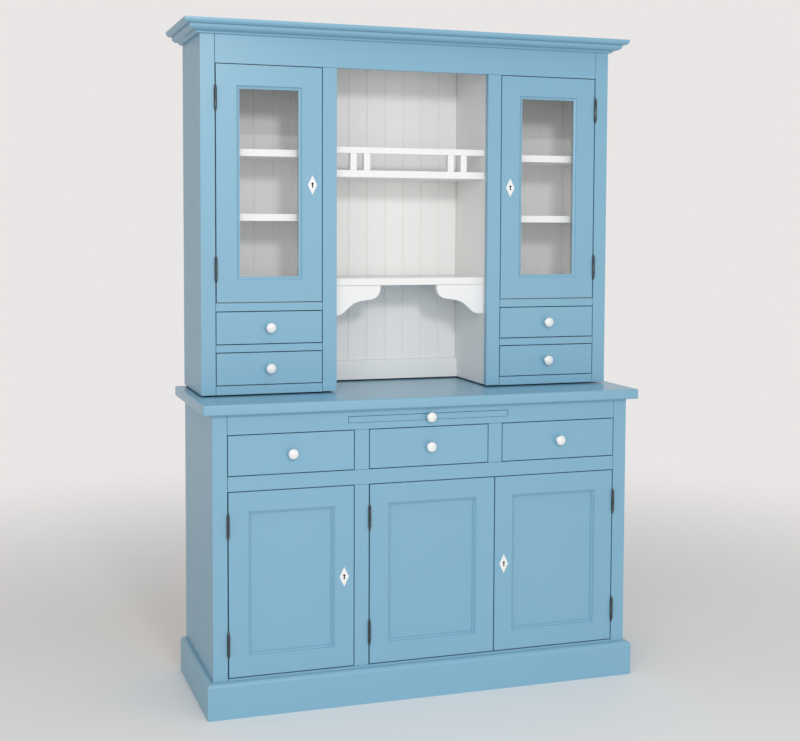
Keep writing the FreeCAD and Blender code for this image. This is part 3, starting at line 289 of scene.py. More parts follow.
@dataclass(frozen=True)
class Paint(Finish):
    """Sprayed paint on sanded wood: an even colour with a faint cloud and a fine skin."""

    name: str
    colour: Colour
    roughness: float = 0.33
    cloud: float = 0.018
    skin: float = 0.12
    zones: tuple[Zone, ...] = ()

    def clouded(self, graph: Graph, drift: Value, colour: Colour) -> Socket:
        """A colour that gets a little darker and paler with a drift."""
        return graph.mix(drift, opaque(colour, 1 - self.cloud), opaque(colour, 1 + self.cloud))

    def surface(self, graph: Graph, place: Socket) -> Socket:
        """Cloudy colour, zones of a second colour (one of them painted keyhole shade), uneven
        sheen and an orange-peel bump.

        Args:
            graph: The material's graph.
            place: Object coordinates in metres.

        Returns:
            The shader's output.
        """
        cloud_scale, sheen_scale, grain_scale, peel_scale = 2.2, 26.0, 240.0, 620.0
        unevenness, peel_share, depth = 0.09, 0.6, 0.0004
        upright = (1.0, 1.0, 0.12)
        drift = graph.noise(place, cloud_scale, 3.0)
        colour = self.clouded(graph, drift, self.colour)
        sheen = self.roughness + (graph.noise(place, sheen_scale, 3.0) - 0.5) * unevenness
        painted_shade_metal: Number = 0.0
        # Zones with dulled set are painted shade: a near-black colour, more roughness and a
        # metallic weight for the dark inside a keyhole.
        for zone in self.zones:
            mask = zone.mask(graph, place)
            colour = graph.mix(mask, colour, self.clouded(graph, drift, zone.colour))
            if zone.dulled:
                sheen = sheen + mask * zone.dulled
                painted_shade_metal = mask
        grain = graph.noise(graph.stretched(place, upright), grain_scale, 2.0)
        peel = graph.noise(place, peel_scale, 1.0)
        skin = graph.relief(peel * peel_share + grain * (1 - peel_share), self.skin, depth)
        return graph.coat(colour, sheen, skin, painted_shade_metal)


@dataclass(frozen=True)
class Timber(Finish):
    """Waxed softwood with growth rings and fibres along one axis.

    Boards side by side, of an even width from a first place on, differ in their figure.
    """

    name: str
    axis: Axis
    early: Colour = (0.64, 0.46, 0.27)
    late: Colour = (0.50, 0.32, 0.16)
    board: float = 0.0
    first: float = 0.0

    def drawn_out(self, graph: Graph, place: Socket, across: float, along: float) -> Socket:
        """A place scaled across the grain and, less, along it."""
        scales = tuple(along if axis is self.axis else across for axis in Axis)
        return graph.stretched(place, scales)

    def surface(self, graph: Graph, place: Socket) -> Socket:
        """Bands of growth, fine fibres and open pores.

        Args:
            graph: The material's graph.
            place: Object coordinates in metres.

        Returns:
            The shader's output.
        """
        across_log, up_log = 1.7, 3.1
        band_scales, fibre_scales = (11.0, 0.7), (260.0, 7.0)
        ring_count, late_edge, main_share = 9.0, 2.2, 0.7
        strength, depth, roughness, unevenness = 0.25, 0.0004, 0.48, 0.16
        if self.board:
            number = graph.math("FLOOR", graph.math(
                "DIVIDE", graph.axes(place)[Axis.X.value] - self.first, self.board))
            jump = graph.vector(number * across_log, 0.0, number * up_log)
            place = graph.add("ShaderNodeVectorMath", {"operation": "ADD"},
                              {0: place, 1: jump}).outputs[0]
        bands = graph.noise(self.drawn_out(graph, place, *band_scales), 1.0, 3.0)
        fibres = graph.noise(self.drawn_out(graph, place, *fibre_scales), 1.0, 2.0)
        rings = graph.math("PINGPONG", bands * ring_count, 0.5) * 2.0
        late = graph.math("POWER", rings, late_edge)
        colour = graph.mix(late * main_share + fibres * (1 - main_share),
                           opaque(self.early), opaque(self.late))
        pores = graph.relief(fibres * main_share + rings * (1 - main_share), strength, depth)
        return graph.coat(colour, roughness + fibres * unevenness, pores)


@dataclass(frozen=True)
class Metal(Finish):
    """Cast or plated metal with cloudy tarnish and a fine tooth."""

    name: str
    colour: Colour
    tarnish: Colour
    metallic: float
    roughness: float

    def surface(self, graph: Graph, place: Socket) -> Socket:
        """Tarnish over metal, rougher where it lies.

        Args:
            graph: The material's graph.
            place: Object coordinates in metres.

        Returns:
            The shader's output.
        """
        cloud_scale, tooth_scale = 90.0, 900.0
        contrast, threshold, softness, dulling = 2.4, 0.7, 0.1, 0.15
        strength, depth = 0.2, 0.0002
        cloud = graph.noise(place, cloud_scale, 4.0) * contrast - threshold
        spread = graph.math("SMOOTH_MIN", graph.math("MAXIMUM", cloud, 0.0), 1.0, softness)
        return graph.coat(
            graph.mix(spread, opaque(self.colour), opaque(self.tarnish)),
            self.roughness + spread * dulling,
            graph.relief(graph.noise(place, tooth_scale, 2.0), strength, depth), self.metallic)


@dataclass(frozen=True)
class Glass(Finish):
    """A clear drawn pane that passes light and mirrors more at a glance."""

    name: str
    tint: Colour = (0.994, 0.998, 0.996)
    straight: float = 0.04

    def surface(self, graph: Graph, place: Socket) -> Socket:
        """See-through glass with a slightly wavy reflection.

        Args:
            graph: The material's graph.
            place: Object coordinates in metres.

        Returns:
            The shader's output.
        """
        wave_scale, strength, depth, roughness, fall = 5.0, 0.08, 0.002, 0.02, 5.0
        wave = graph.relief(graph.noise(place, wave_scale, 1.0), strength, depth)
        clear = graph.add("ShaderNodeBsdfTransparent", inputs={"Color": opaque(self.tint)})
        mirror = graph.add("ShaderNodeBsdfAnisotropic", inputs={
            "Color": opaque((1.0, 1.0, 1.0)), "Roughness": roughness, "Normal": wave})
        facing = graph.add("ShaderNodeLayerWeight", inputs={"Blend": 0.5, "Normal": wave})
        aslant = graph.math("POWER", facing.outputs["Facing"], fall)
        return graph.add("ShaderNodeMixShader", inputs={
            0: aslant * (1 - self.straight) + self.straight,
            1: clear.outputs[0], 2: mirror.outputs[0]}).outputs[0]


@dataclass(frozen=True)
class Felt(Finish):
    """Dense dark felt under the hutch."""

    name: str
    colour: Colour = (0.03, 0.03, 0.035)

    def surface(self, graph: Graph, place: Socket) -> Socket:
        """Matted fibres.

        Args:
            graph: The material's graph.
            place: Object coordinates in metres.

        Returns:
            The shader's output.
        """
        nap_scale, dark, pale, roughness, strength, depth = 700.0, 0.6, 1.6, 0.95, 0.6, 0.0006
        nap = graph.noise(place, nap_scale, 4.0)
        return graph.coat(graph.mix(nap, opaque(self.colour, dark), opaque(self.colour, pale)),
                          roughness, graph.relief(nap, strength, depth))


@dataclass(frozen=True)
class PaleFloor(Finish):
    """A matt floor that fades out far from the cabinet."""

    name: str = "pale_floor"
    colour: Colour = (0.90, 0.885, 0.87)
    near: float = 1.0
    far: float = 4.2

    def surface(self, graph: Graph, place: Socket) -> Socket:
        """Faint clouds, and nothing at all past the far limit.

        Args:
            graph: The material's graph.
            place: Object coordinates in metres.

        Returns:
            The shader's output.
        """
        cloud_scale, dark, pale, roughness = 1.5, 0.98, 1.02, 0.6
        away = graph.add("ShaderNodeVectorMath", {"operation": "LENGTH"}, {0: place})
        fade = graph.add("ShaderNodeMapRange", {"interpolation_type": "SMOOTHSTEP"}, {
            "Value": away.outputs["Value"], "From Min": self.near, "From Max": self.far})
        matt = graph.add("ShaderNodeBsdfPrincipled", inputs={
            "Base Color": graph.mix(graph.noise(place, cloud_scale, 3.0),
                                    opaque(self.colour, dark), opaque(self.colour, pale)),
            "Roughness": roughness})
        clear = graph.add("ShaderNodeBsdfTransparent")
        return graph.add("ShaderNodeMixShader", inputs={
            0: fade.outputs["Result"], 1: matt.outputs[0], 2: clear.outputs[0]}).outputs[0]


BLUE_COLOUR: Colour = (0.204, 0.415, 0.556)
WHITE_COLOUR: Colour = (0.848, 0.843, 0.833)
# Near black, used as painted shade on the walls of the keyholes.
KEYHOLE_PAINTED_SHADE: Colour = (0.012, 0.012, 0.012)
BLUE = Paint("satin_blue", BLUE_COLOUR)
WORKTOP_BLUE = Paint("rubbed_blue", BLUE_COLOUR, roughness=0.24)
WHITE = Paint("satin_white", WHITE_COLOUR, roughness=0.42)
ENAMEL = Paint("white_enamel", (0.83, 0.83, 0.82), roughness=0.24, skin=0.05)
TIMBERS = {axis: Timber(f"waxed_pine_{axis.name.lower()}", axis) for axis in Axis}
IRON = Metal("dark_iron_spindle", (0.10, 0.11, 0.12), (0.035, 0.038, 0.042), 0.8, 0.38)
LOCK_BLACK = Metal("blackened_lock_case", (0.022, 0.022, 0.024), (0.012, 0.012, 0.012), 1.0, 0.8)
ZINC = Metal("zinc_plate", (0.62, 0.63, 0.65), (0.42, 0.43, 0.44), 1.0, 0.3)
PANE = Glass("window_glass")
FELT = Felt("felt_pad")


@dataclass
class Solid:
    """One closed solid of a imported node: its welded points and its triangles."""

    points: list[Vector]
    faces: list[tuple[int, ...]]

    def reach(self, axis: Axis) -> tuple[float, float]:
        """The lowest and highest place of the solid on an axis."""
        places = [point[axis.value] for point in self.points]
        return min(places), max(places)

    def box(self) -> tuple[Vector, Vector]:
        """The solid's lowest and highest corner."""
        low, high = zip(*(self.reach(axis) for axis in Axis))
        return Vector(low), Vector(high)

    def grain(self) -> Axis:
        """The axis of the solid's longest side."""
        return max(Axis, key=lambda axis: self.reach(axis)[1] - self.reach(axis)[0])

    def pull_in(self, axis: Axis, gap: float, places: Optional[Sequence[float]] = None) -> None:
        """Cut the solid's end faces on an axis back.

        Args:
            axis: The axis that the end faces stand across.
            gap: How much is cut off.
            places: Distances from the model's middle plane of the ends that are cut; all of them
                if left out.
        """
        near = 1e-4
        low, high = self.reach(axis)
        for end, side in ((low, 1.0), (high, -1.0)):
            if places and all(abs(abs(end) - place) > near for place in places):
                continue
            for point in self.points:
                if abs(point[axis.value] - end) < near:
                    point[axis.value] += side * gap


def packed_solids(node: Piece) -> list[Solid]:
    """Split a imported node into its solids, which follow each other in its triangles.

    Args:
        node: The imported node's object.

    Returns:
        Its solids, each with its doubled points welded.
    """
    step = 1e6
    points = node.data.vertices
    solids: list[Solid] = []
    numbers: dict[tuple[int, ...], int] = {}
    edges: dict[tuple[int, int], int] = {}
    solid = Solid([], [])
    for polygon in node.data.polygons:
        corners = []
        for index in polygon.vertices:
            place = points[index].co
            key = tuple(round(part * step) for part in place)
            if key not in numbers:
                numbers[key] = len(solid.points)
                solid.points.append(place.copy())
            corners.append(numbers[key])
        if len(set(corners)) == len(corners):
            solid.faces.append(tuple(corners))
            for start, end in zip(corners, corners[1:] + corners[:1]):
                if edges.get((end, start)):
                    edges[end, start] -= 1
                    if not edges[end, start]:
                        del edges[end, start]
                else:
                    edges[start, end] = edges.get((start, end), 0) + 1
        if not edges:
            solids.append(solid)
            solid, numbers = Solid([], []), {}
    return solids


Rule = Callable[[Solid], Finish]


def timber_of(solid: Solid) -> Finish:
    """Bare pine with its grain along the solid's longest side."""
    return TIMBERS[solid.grain()]


class Workshop:
    """The loaded frame, and what every sub-assembly needs to put its pieces on it."""

    def __init__(self, frame: dict) -> None:
        """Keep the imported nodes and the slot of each."""
        self.nodes: dict[str, Piece] = frame["nodes"]
        self.slots = {part["node"]: part["material_slot"]
                      for part in frame["record"]["subparts"]}

    def place(self, piece: Piece, node: str, stands_in: bool = True) -> None:
        """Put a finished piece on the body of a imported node.

        Args:
            piece: The piece, with its place in its mesh.
            node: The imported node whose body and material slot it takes.
            stands_in: Whether it stands in for that node or is added to it.
        """
        body = self.nodes[node]["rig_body"]
        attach(piece, body)
        if stands_in:
            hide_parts(node)
        LOG.info("%s rides on %s with %d faces", piece.name, body, len(piece.data.polygons))

    def finish(self, node: str, finish: Finish) -> None:
        """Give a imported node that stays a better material."""
        for holder in self.nodes[node].material_slots:
            holder.material = finish.material()
        LOG.info("%s keeps its packed shape", node)

    def eased(self, node: str, rule: Union[Finish, Rule], ease: float = 0.0,
              seam: Optional[float] = None,
              trim: Optional[Callable[[Solid], None]] = None) -> None:
        """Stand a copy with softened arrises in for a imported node.

        Args:
            node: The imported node.
            rule: One finish, or a rule that gives each solid its own.
            ease: Width of the easing on the arrises.
            seam: Width where two of the node's boards meet; the same if left out.
            trim: What is taken off each solid first.
        """
        joined = 1.0 if seam is None or not ease else seam / ease
        finishes: list[Finish] = []
        mesh = bmesh.new()
        mesh.edges.layers.float.new(WEIGHT)
        solids = packed_solids(self.nodes[node])
        boxes = [solid.box() for solid in solids]
        for number, solid in enumerate(solids):
            if trim:
                trim(solid)
            finish = rule if isinstance(rule, Finish) else rule(solid)
            if finish not in finishes:
                finishes.append(finish)
            edges = add_solid(mesh, solid, finishes.index(finish))
            if ease:
                weigh_edges(mesh, edges, boxes[:number] + boxes[number + 1:], joined)
        piece = new_piece(f"{node}_finished", mesh, finishes)
        if ease:
            bevel = piece.modifiers.new("ease", "BEVEL")
            bevel.limit_method = "WEIGHT"
            bevel.width = ease
            bevel.segments = 2
            bevel.harden_normals = True
            freeze(piece)
        self.place(piece, node)


def add_solid(mesh: Shape, solid: Solid, finish: int) -> list[bmesh.types.BMEdge]:
    """Add a solid to a mesh with its flat faces made whole.

    Args:
        mesh: The mesh that grows.
        solid: The welded solid.
        finish: The material slot of its faces.

    Returns:
        The edges that it has in the mesh.
    """
    flat = math.radians(0.3)
    points = [mesh.verts.new(point) for point in solid.points]
    faces = []
    for corners in solid.faces:
        face = mesh.faces.new([points[index] for index in corners])
        face.smooth = True
        face.material_index = finish
        faces.append(face)
    edges = {edge for face in faces for edge in face.edges}
    bmesh.ops.dissolve_limit(mesh, angle_limit=flat, verts=points, edges=list(edges))
    return list({edge for point in points if point.is_valid for edge in point.link_edges})


def weigh_edges(mesh: Shape, edges: Iterable[bmesh.types.BMEdge],
                others: Sequence[Box], joined: float) -> None:
    """Mark the convex arrises of a solid for easing.

    Args:
        mesh: The mesh that holds the edges.
        edges: The solid's edges.
        others: The boxes of the solids beside it.
        joined: Weight of an edge that lies on one of them.
    """
    near = 1.5e-3
    shortest = 1.2e-3
    weights = mesh.edges.layers.float[WEIGHT]
    for edge in edges:
        if len(edge.link_faces) != 2 or edge.calc_face_angle(0.0) < SHARP:
            continue
        if not edge.is_convex or edge.calc_length() < shortest:
            edge.smooth = False
            continue
        start, end = (vert.co for vert in edge.verts)
        meets = any(all(low[axis] - near < max(start[axis], end[axis])
                        and min(start[axis], end[axis]) < high[axis] + near
                        for axis in range(3)) for low, high in others)
        edge[weights] = joined if meets else 1.0


def stand(name: str, data: bpy.types.ID) -> Piece:
    """Put a mesh, a lamp or a camera into the scene.

    Args:
        name: The object's name.
        data: What it shows.

    Returns:
        The object.
    """
    made = bpy.data.objects.new(name, data)
    bpy.context.scene.collection.objects.link(made)
    return made


def new_piece(name: str, mesh: Shape, finishes: Iterable[Finish]) -> Piece:
    """Turn a working mesh into an object in the scene.

    Args:
        name: The object's name.
        mesh: The working mesh, which is used up.
        finishes: Its finishes, in the order of its material slots.

    Returns:
        The object, at the origin.
    """
    for edge in mesh.edges:
        if len(edge.link_faces) == 2 and edge.calc_face_angle(0.0) >= SHARP:
            weights = mesh.edges.layers.float.get(WEIGHT)
            if weights is None or not edge[weights]:
                edge.smooth = False
    data = bpy.data.meshes.new(name)
    mesh.to_mesh(data)
    mesh.free()
    for finish in finishes:
        data.materials.append(finish.material())
    return stand(name, data)


def freeze(piece: Piece) -> None:
    """Turn what a piece's modifiers give into its own mesh, and drop the modifiers.

    Args:
        piece: The piece.
    """
    graph = bpy.context.evaluated_depsgraph_get()
    made = bpy.data.meshes.new_from_object(piece.evaluated_get(graph), depsgraph=graph,
                                           preserve_all_data_layers=True)
    piece.modifiers.clear()
    piece.data = made


@dataclass
class Turning:
    """A turned shape: its profile of (radius, height) pairs from one end to the other."""

    profile: Sequence[tuple[float, float]]
    steps: int = 48

    def mesh(self, place: Matrix) -> Shape:
        """Turn the profile about the z axis and put it in its place.

        Args:
            place: Where the turning goes, from its own axes to the model's.

        Returns:
            A closed mesh with smooth faces.
        """
        made = bmesh.new()
        rings = []
        for radius, height in self.profile:
            if radius == 0.0:
                rings.append([made.verts.new((0.0, 0.0, height))])
                continue
            angles = (2 * math.pi * step / self.steps for step in range(self.steps))
            rings.append([made.verts.new((radius * math.cos(angle), radius * math.sin(angle),
                                          height)) for angle in angles])
        for lower, upper in zip(rings, rings[1:]):
            for step in range(self.steps):
                after = (step + 1) % self.steps
                corners = [lower[step % len(lower)], lower[after % len(lower)],
                           upper[after % len(upper)], upper[step % len(upper)]]
                made.faces.new(list(dict.fromkeys(corners))).smooth = True
        bmesh.ops.recalc_face_normals(made, faces=made.faces)
        bmesh.ops.transform(made, matrix=place, verts=made.verts)
        return made


class Recipe:
    """A Geometry Nodes tree with named inputs, built in code."""

    def __init__(self, name: str, inputs: dict[str, str]) -> None:
        """Start a tree.

        Args:
            name: The tree's name.
            inputs: Each named input's kind of socket.
        """
        self.tree = bpy.data.node_groups.new(name, "GeometryNodeTree")
        face = self.tree.interface
        face.new_socket("Geometry", in_out="INPUT", socket_type="NodeSocketGeometry")
        face.new_socket("Geometry", in_out="OUTPUT", socket_type="NodeSocketGeometry")
        self.keys: dict[str, str] = {}
        for label, kind in inputs.items():
            socket = face.new_socket(label, in_out="INPUT", socket_type=f"NodeSocket{kind}")
            self.keys[label] = socket.identifier
        self.graph = Graph(self.tree)
        self.given = self.graph.add("NodeGroupInput").outputs

    def value(self, label: str) -> Value:
        """A named input as a number."""
        return Value(self.graph, self.given[label])

    def close(self, geometry: Socket) -> None:
        """Realize the geometry, give it the Finish input's material and send it out.

        Args:
            geometry: The socket of the finished instances.
        """
        solid = self.graph.add("GeometryNodeRealizeInstances", inputs={0: geometry})
        dressed = self.graph.add("GeometryNodeSetMaterial", inputs={
            "Geometry": solid.outputs[0], "Material": self.given["Finish"]})
        self.graph.add("NodeGroupOutput", inputs={0: dressed.outputs[0]})

    def make(self, name: str, settings: dict[str, object],
             start: Optional[bpy.types.Mesh] = None) -> Piece:
        """Run the tree once.

        Args:
            name: Name of the object.
            settings: Values of the named inputs.
            start: The mesh that the tree starts from, if it needs one.

        Returns:
            A plain mesh object at the origin.
        """
        piece = stand(name, start or bpy.data.meshes.new(name))
        modifier = piece.modifiers.new("recipe", "NODES")
        modifier.node_group = self.tree
        for label, setting in settings.items():
            modifier[self.keys[label]] = setting
        freeze(piece)
        return piece


class PlankRow(Recipe):
    """Upright planks side by side with V joints, the two outer ones a little wider."""

    def __init__(self) -> None:
        """Build the tree from a grid of box corners that is pushed into a plank."""
        lengths = ("Width", "End Width", "Thickness", "Height", "Bevel", "Taper", "Front", "Foot")
        super().__init__("plank_row", {
            "Count": "Int", **dict.fromkeys(lengths, "Float"), "Finish": "Material"})
        graph = self.graph
        width, depth, bevel = (self.value(key) for key in ("Width", "Thickness", "Bevel"))
        plank = graph.add("GeometryNodeMeshCube", inputs={
            "Size": graph.vector(width, depth, self.value("Height")),
            "Vertices X": 4, "Vertices Y": 2, "Vertices Z": 2})
        x, y, _ = graph.axes(graph.add("GeometryNodeInputPosition").outputs[0])
        side = graph.math("SIGN", x)
        third = width * (1 / 3)
        inner = graph.math("ABSOLUTE", x) < third
        at_front = y < 0.0
        narrower = (1 - inner) * (1 - at_front) * self.value("Taper")
        shaped = graph.add("GeometryNodeSetPosition", inputs={
            "Geometry": plank.outputs["Mesh"],
            "Offset": graph.vector(side * (inner * (third - bevel) - narrower),
                                   (1 - inner) * at_front * bevel)})
        index = Value(graph, graph.add("GeometryNodeInputIndex").outputs[0])
        count = self.value("Count")
        first = index < 0.5
        last = index > count - 1.5
        end = first + last
        extra = self.value("End Width") - width
        points = graph.add("GeometryNodePoints", inputs={
            "Count": self.given["Count"],
            "Position": graph.vector(
                (index - (count - 1.0) * 0.5) * width + (last - first) * extra * 0.5,
                self.value("Front") + depth * 0.5,
                self.value("Foot") + self.value("Height") * 0.5)})
        placed = graph.add("GeometryNodeInstanceOnPoints", inputs={
            "Points": points.outputs[0], "Instance": shaped.outputs[0],
            "Scale": graph.vector(1 + end * graph.math("DIVIDE", extra, width), 1.0, 1.0)})
        self.close(placed.outputs[0])


class FixingRow(Recipe):
    """One small piece repeated at marked points, each turned as its point says."""

    TURN = "turn"
    SEED = 7

    def __init__(self) -> None:
        """Build the tree: each point carries its turn, and a seed spins each copy in place."""
        super().__init__("fixing_row", {
            "Piece": "Object", "Size": "Float", "Seed": "Int", "Finish": "Material"})
        graph = self.graph
        highest, seed, number = 3, 8, 1
        turn = graph.add("GeometryNodeInputNamedAttribute", {"data_type": "FLOAT_VECTOR"},
                         {"Name": self.TURN})
        shape = graph.add("GeometryNodeObjectInfo", inputs={"Object": self.given["Piece"]})
        placed = graph.add("GeometryNodeInstanceOnPoints", inputs={
            "Points": self.given["Geometry"], "Instance": shape.outputs["Geometry"],
            "Rotation": turn.outputs[0], "Scale": self.given["Size"]})
        spin = graph.add("FunctionNodeRandomValue", {"data_type": "FLOAT"},
                         {highest: math.pi, seed: self.given["Seed"]}).outputs[number]
        spun = graph.add("GeometryNodeRotateInstances", inputs={
            "Instances": placed.outputs[0], "Rotation": graph.vector(z=spin)})
        self.close(spun.outputs[0])

    def row(self, name: str, shape: Shape, spots: Sequence[Spot], finish: Finish) -> Piece:
        """Set the piece at each spot.

        Args:
            name: Name of the finished object.
            shape: The small piece, standing on z = 0.
            spots: Pairs of a place and the direction that the piece's z axis takes there.
            finish: The finish of them all.

        Returns:
            One object with every copy.
        """
        pattern = new_piece(f"{name}_pattern", shape, [finish])
        marks = bpy.data.meshes.new(name)
        marks.from_pydata([spot for spot, _ in spots], [], [])
        turns = marks.attributes.new(self.TURN, "FLOAT_VECTOR", "POINT")
        for number, (_, way) in enumerate(spots):
            turns.data[number].vector = Vector(way).to_track_quat("Z", "Y").to_euler()
        made = self.make(name, {"Piece": pattern, "Size": 1.0, "Seed": self.SEED,
                                "Finish": finish.material()}, marks)
        bpy.data.objects.remove(pattern)
        return made


def slotted_head(radius: float, rise: float, slot: float) -> Shape:
    """A slotted screw head: two half discs over a plate, with the slot between them.

    Args:
        radius: Radius of the head.
        rise: Its height over the surface.
        slot: Width of the slot.

    Returns:
        The head as closed solids.
    """
    arcs = 7
    plate_share = 0.2
    made = bmesh.new()
    edge = math.asin(slot / 2 / radius)
    for side in (0.0, math.pi):
        turns = [side + edge + (math.pi - 2 * edge) * step / arcs for step in range(arcs + 1)]
        outline = [(radius * math.cos(turn), radius * math.sin(turn)) for turn in turns]
        extrude(made, outline, 0.0, rise)
    ring = [2 * math.pi * step / (2 * arcs) for step in range(2 * arcs)]
    extrude(made, [(radius * math.cos(turn), radius * math.sin(turn)) for turn in ring],
            -rise, rise * plate_share)
    return made


def extrude(mesh: Shape, outline: Sequence[tuple[float, float]], low: float,
            high: float) -> None:
    """Add an upright prism to a mesh.

    Args:
        mesh: The mesh that grows.
        outline: The prism's corners, counter-clockwise.
        low: Height of its bottom.
        high: Height of its top.
    """
    bottom = [mesh.verts.new((x, y, low)) for x, y in outline]
    top = [mesh.verts.new((x, y, high)) for x, y in outline]
    mesh.faces.new(bottom[::-1])
    mesh.faces.new(top)
    for index in range(len(outline)):
        after = (index + 1) % len(outline)
        mesh.faces.new((bottom[index], bottom[after], top[after], top[index]))


def arc(centre: tuple[float, float], radius: float, start: float, end: float,
        steps: int) -> list[tuple[float, float]]:
    """Points on an arc in a profile's plane.

    Args:
        centre: Its centre, as a radius and a height.
        radius: Its own radius.
        start: The angle where it starts, in degrees.
        end: The angle where it ends.
        steps: How many straight steps it has.

    Returns:
        Pairs of radius and height.
    """
    turns = (math.radians(start + (end - start) * step / steps) for step in range(steps + 1))
    return [(centre[0] + radius * math.cos(turn), centre[1] + radius * math.sin(turn))
            for turn in turns]


class Hardware(Enum):
    """What a solid of the hinges and locks is, and its finish."""

    HINGE = IRON
    CASE = LOCK_BLACK
    GUIDE = ZINC

    @classmethod
    def of(cls, solid: Solid) -> "Hardware":
        """Tell a solid by its width.

        Args:
            solid: A solid of a hardware node.

        Returns:
            What it is.
        """
        leaf_width, case_width = 0.01, 0.03
        low, high = solid.reach(Axis.X)
        if high - low < leaf_width:
            return cls.HINGE
        return cls.CASE if high - low > case_width else cls.GUIDE


@dataclass
class Assembly:
    """A part of the cabinet, with the workshop that dresses it."""

    shop: Workshop

    def solids(self, node: str) -> list[Solid]:
        """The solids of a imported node."""
        return packed_solids(self.shop.nodes[node])


@dataclass
class Fixings(Assembly):
    """Shelf pins and slotted screws, set in rows."""

    row: FixingRow
    screw: float = 0.0026
    rise: float = 0.00022
    slot: float = 0.0007
    leaf_inset: float = 0.008
    leaf_spread: float = 0.020
    case_inset: float = 0.006
    pin_round: float = 0.0007

    def screws(self, node: str, spots: Sequence[Spot], finish: Finish) -> None:
        """Drive a node's screws at their spots."""
        head = slotted_head(self.screw, self.rise, self.slot)
        self.shop.place(self.row.row(f"{node}_screws", head, spots, finish), node, False)

    def pins(self) -> None:
        """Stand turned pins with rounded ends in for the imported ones."""
        node = "shelf_pins"
        boxes = [solid.box() for solid in self.solids(node)]
        low, high = boxes[0]
        radius, half, ease = (high.z - low.z) / 2, (high.x - low.x) / 2, self.pin_round
        profile = [(0.0, -half)]
        profile += arc((radius - ease, ease - half), ease, 270, 360, 3)
        profile += arc((radius - ease, half - ease), ease, 0, 90, 3) + [(0.0, half)]
        pin = Turning(profile, 20).mesh(Matrix.Identity(4))
        spots = [((low + high) / 2, (1.0, 0.0, 0.0)) for low, high in boxes]
        self.shop.place(self.row.row("shelf_pins_turned", pin, spots, ZINC), node)

    def leaf_spots(self, solid: Solid) -> list[Spot]:
        """Where a hinge leaf's three screws go, on its side towards the gap.

        Args:
            solid: The leaf.

        Returns:
            The three spots.
        """
        low, high = solid.box()
        near = 1e-5
        axis = (low.x + high.x) / 2
        side = min((point.x for point in solid.points if point.y > high.y - near),
                   key=lambda place: abs(place - axis))
        way = (math.copysign(1.0, axis - side), 0.0, 0.0)
        middle = (low.z + high.z) / 2
        return [((side, high.y - self.leaf_inset, middle + step * self.leaf_spread), way)
                for step in (-1, 0, 1)]

    def case_spots(self, solid: Solid) -> list[Spot]:
        """Where a lock case's four screws go, in the corners of its rear side.

        Args:
            solid: The case.

        Returns:
            The four spots.
        """
        low, high = solid.box()
        inset = self.case_inset
        return [((x, high.y, z), (0.0, 1.0, 0.0)) for x in (low.x + inset, high.x - inset)
                for z in (low.z + inset, high.z - inset)]

    def hardware(self, node: str) -> None:
        """Screw down the hinge leaves and the lock case of a node.

        Args:
            node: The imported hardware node.
        """
        spots: list[Spot] = []
        for solid in self.solids(node):
            kind = Hardware.of(solid)
            if kind is Hardware.HINGE:
                spots += self.leaf_spots(solid)
            elif kind is Hardware.CASE:
                spots += self.case_spots(solid)
        self.screws(node, spots, IRON)

    def boards(self, node: str, places: Iterable[tuple[float, float]], rear: float) -> None:
        """Screw upright boards to what they stand against.

        Args:
            node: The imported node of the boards.
            places: Each screw's place across the boards and its height.
            rear: Place of the boards' rear side.
        """
        self.screws(node, [((x, rear, z), (0.0, 1.0, 0.0)) for x, z in places], ZINC)


@dataclass
class Knob(Assembly):
    """A turned and enamelled knob that stands out of a front."""

    node: str
    radius: float = 0.015
    reach: float = 0.027
    edge: float = 0.0026
    edge_low: float = 0.0178
    foot: float = 0.0085
    neck: float = 0.0062
    tenon: float = 0.005
    tenon_length: float = 0.0149
    lip: float = 0.0007
    foot_high: float = 0.0025
    hollow: float = 0.0028
    flare_low: float = 0.0105
    flare_bend: float = 1.9

    def profile(self) -> list[tuple[float, float]]:
        """The knob from the end of its tenon to the top of its dome.

        Returns:
            Pairs of radius and height over the front.
        """
        lip, hollow, edge, edge_low = self.lip, self.hollow, self.edge, self.edge_low
        foot_edge = self.foot_high - lip
        flare_steps = 9
        brim = self.radius - edge
        sweep = 2 * math.atan((self.reach - edge_low - 2 * edge) / brim)
        dome = brim / math.sin(sweep) + edge
        turn = math.degrees(sweep)
        points = [(0.0, -self.tenon_length), (self.tenon, -self.tenon_length),
                  (self.tenon, 0.0), (self.foot, 0.0), (self.foot, foot_edge)]
        points += arc((self.foot - lip, foot_edge), lip, 0, 90, 4)[1:]
        points += arc((self.neck + hollow, self.foot_high + hollow), hollow, 270, 180, 8)[1:]
        for step in range(1, flare_steps + 1):
            share = step / flare_steps
            points.append((self.neck + (brim - self.neck) * share ** self.flare_bend,
                           self.flare_low + (edge_low - self.flare_low) * share))
        points += arc((brim, edge_low + edge), edge, 270, 450 - turn, 10)[1:]
        points += arc((0.0, self.reach - dome), dome, 90 - turn, 90, 10)[1:-1]
        return points + [(0.0, self.reach)]

    def make(self) -> None:
        """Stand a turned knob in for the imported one."""
        low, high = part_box(self.node)
        place = (Matrix.Translation(((low.x + high.x) / 2, low.y + self.reach,
                                     (low.z + high.z) / 2))
                 @ Matrix.Rotation(math.radians(90), 4, "X"))
        turned = Turning(self.profile()).mesh(place)
        self.shop.place(new_piece(f"{self.node}_turned", turned, [ENAMEL]), self.node)


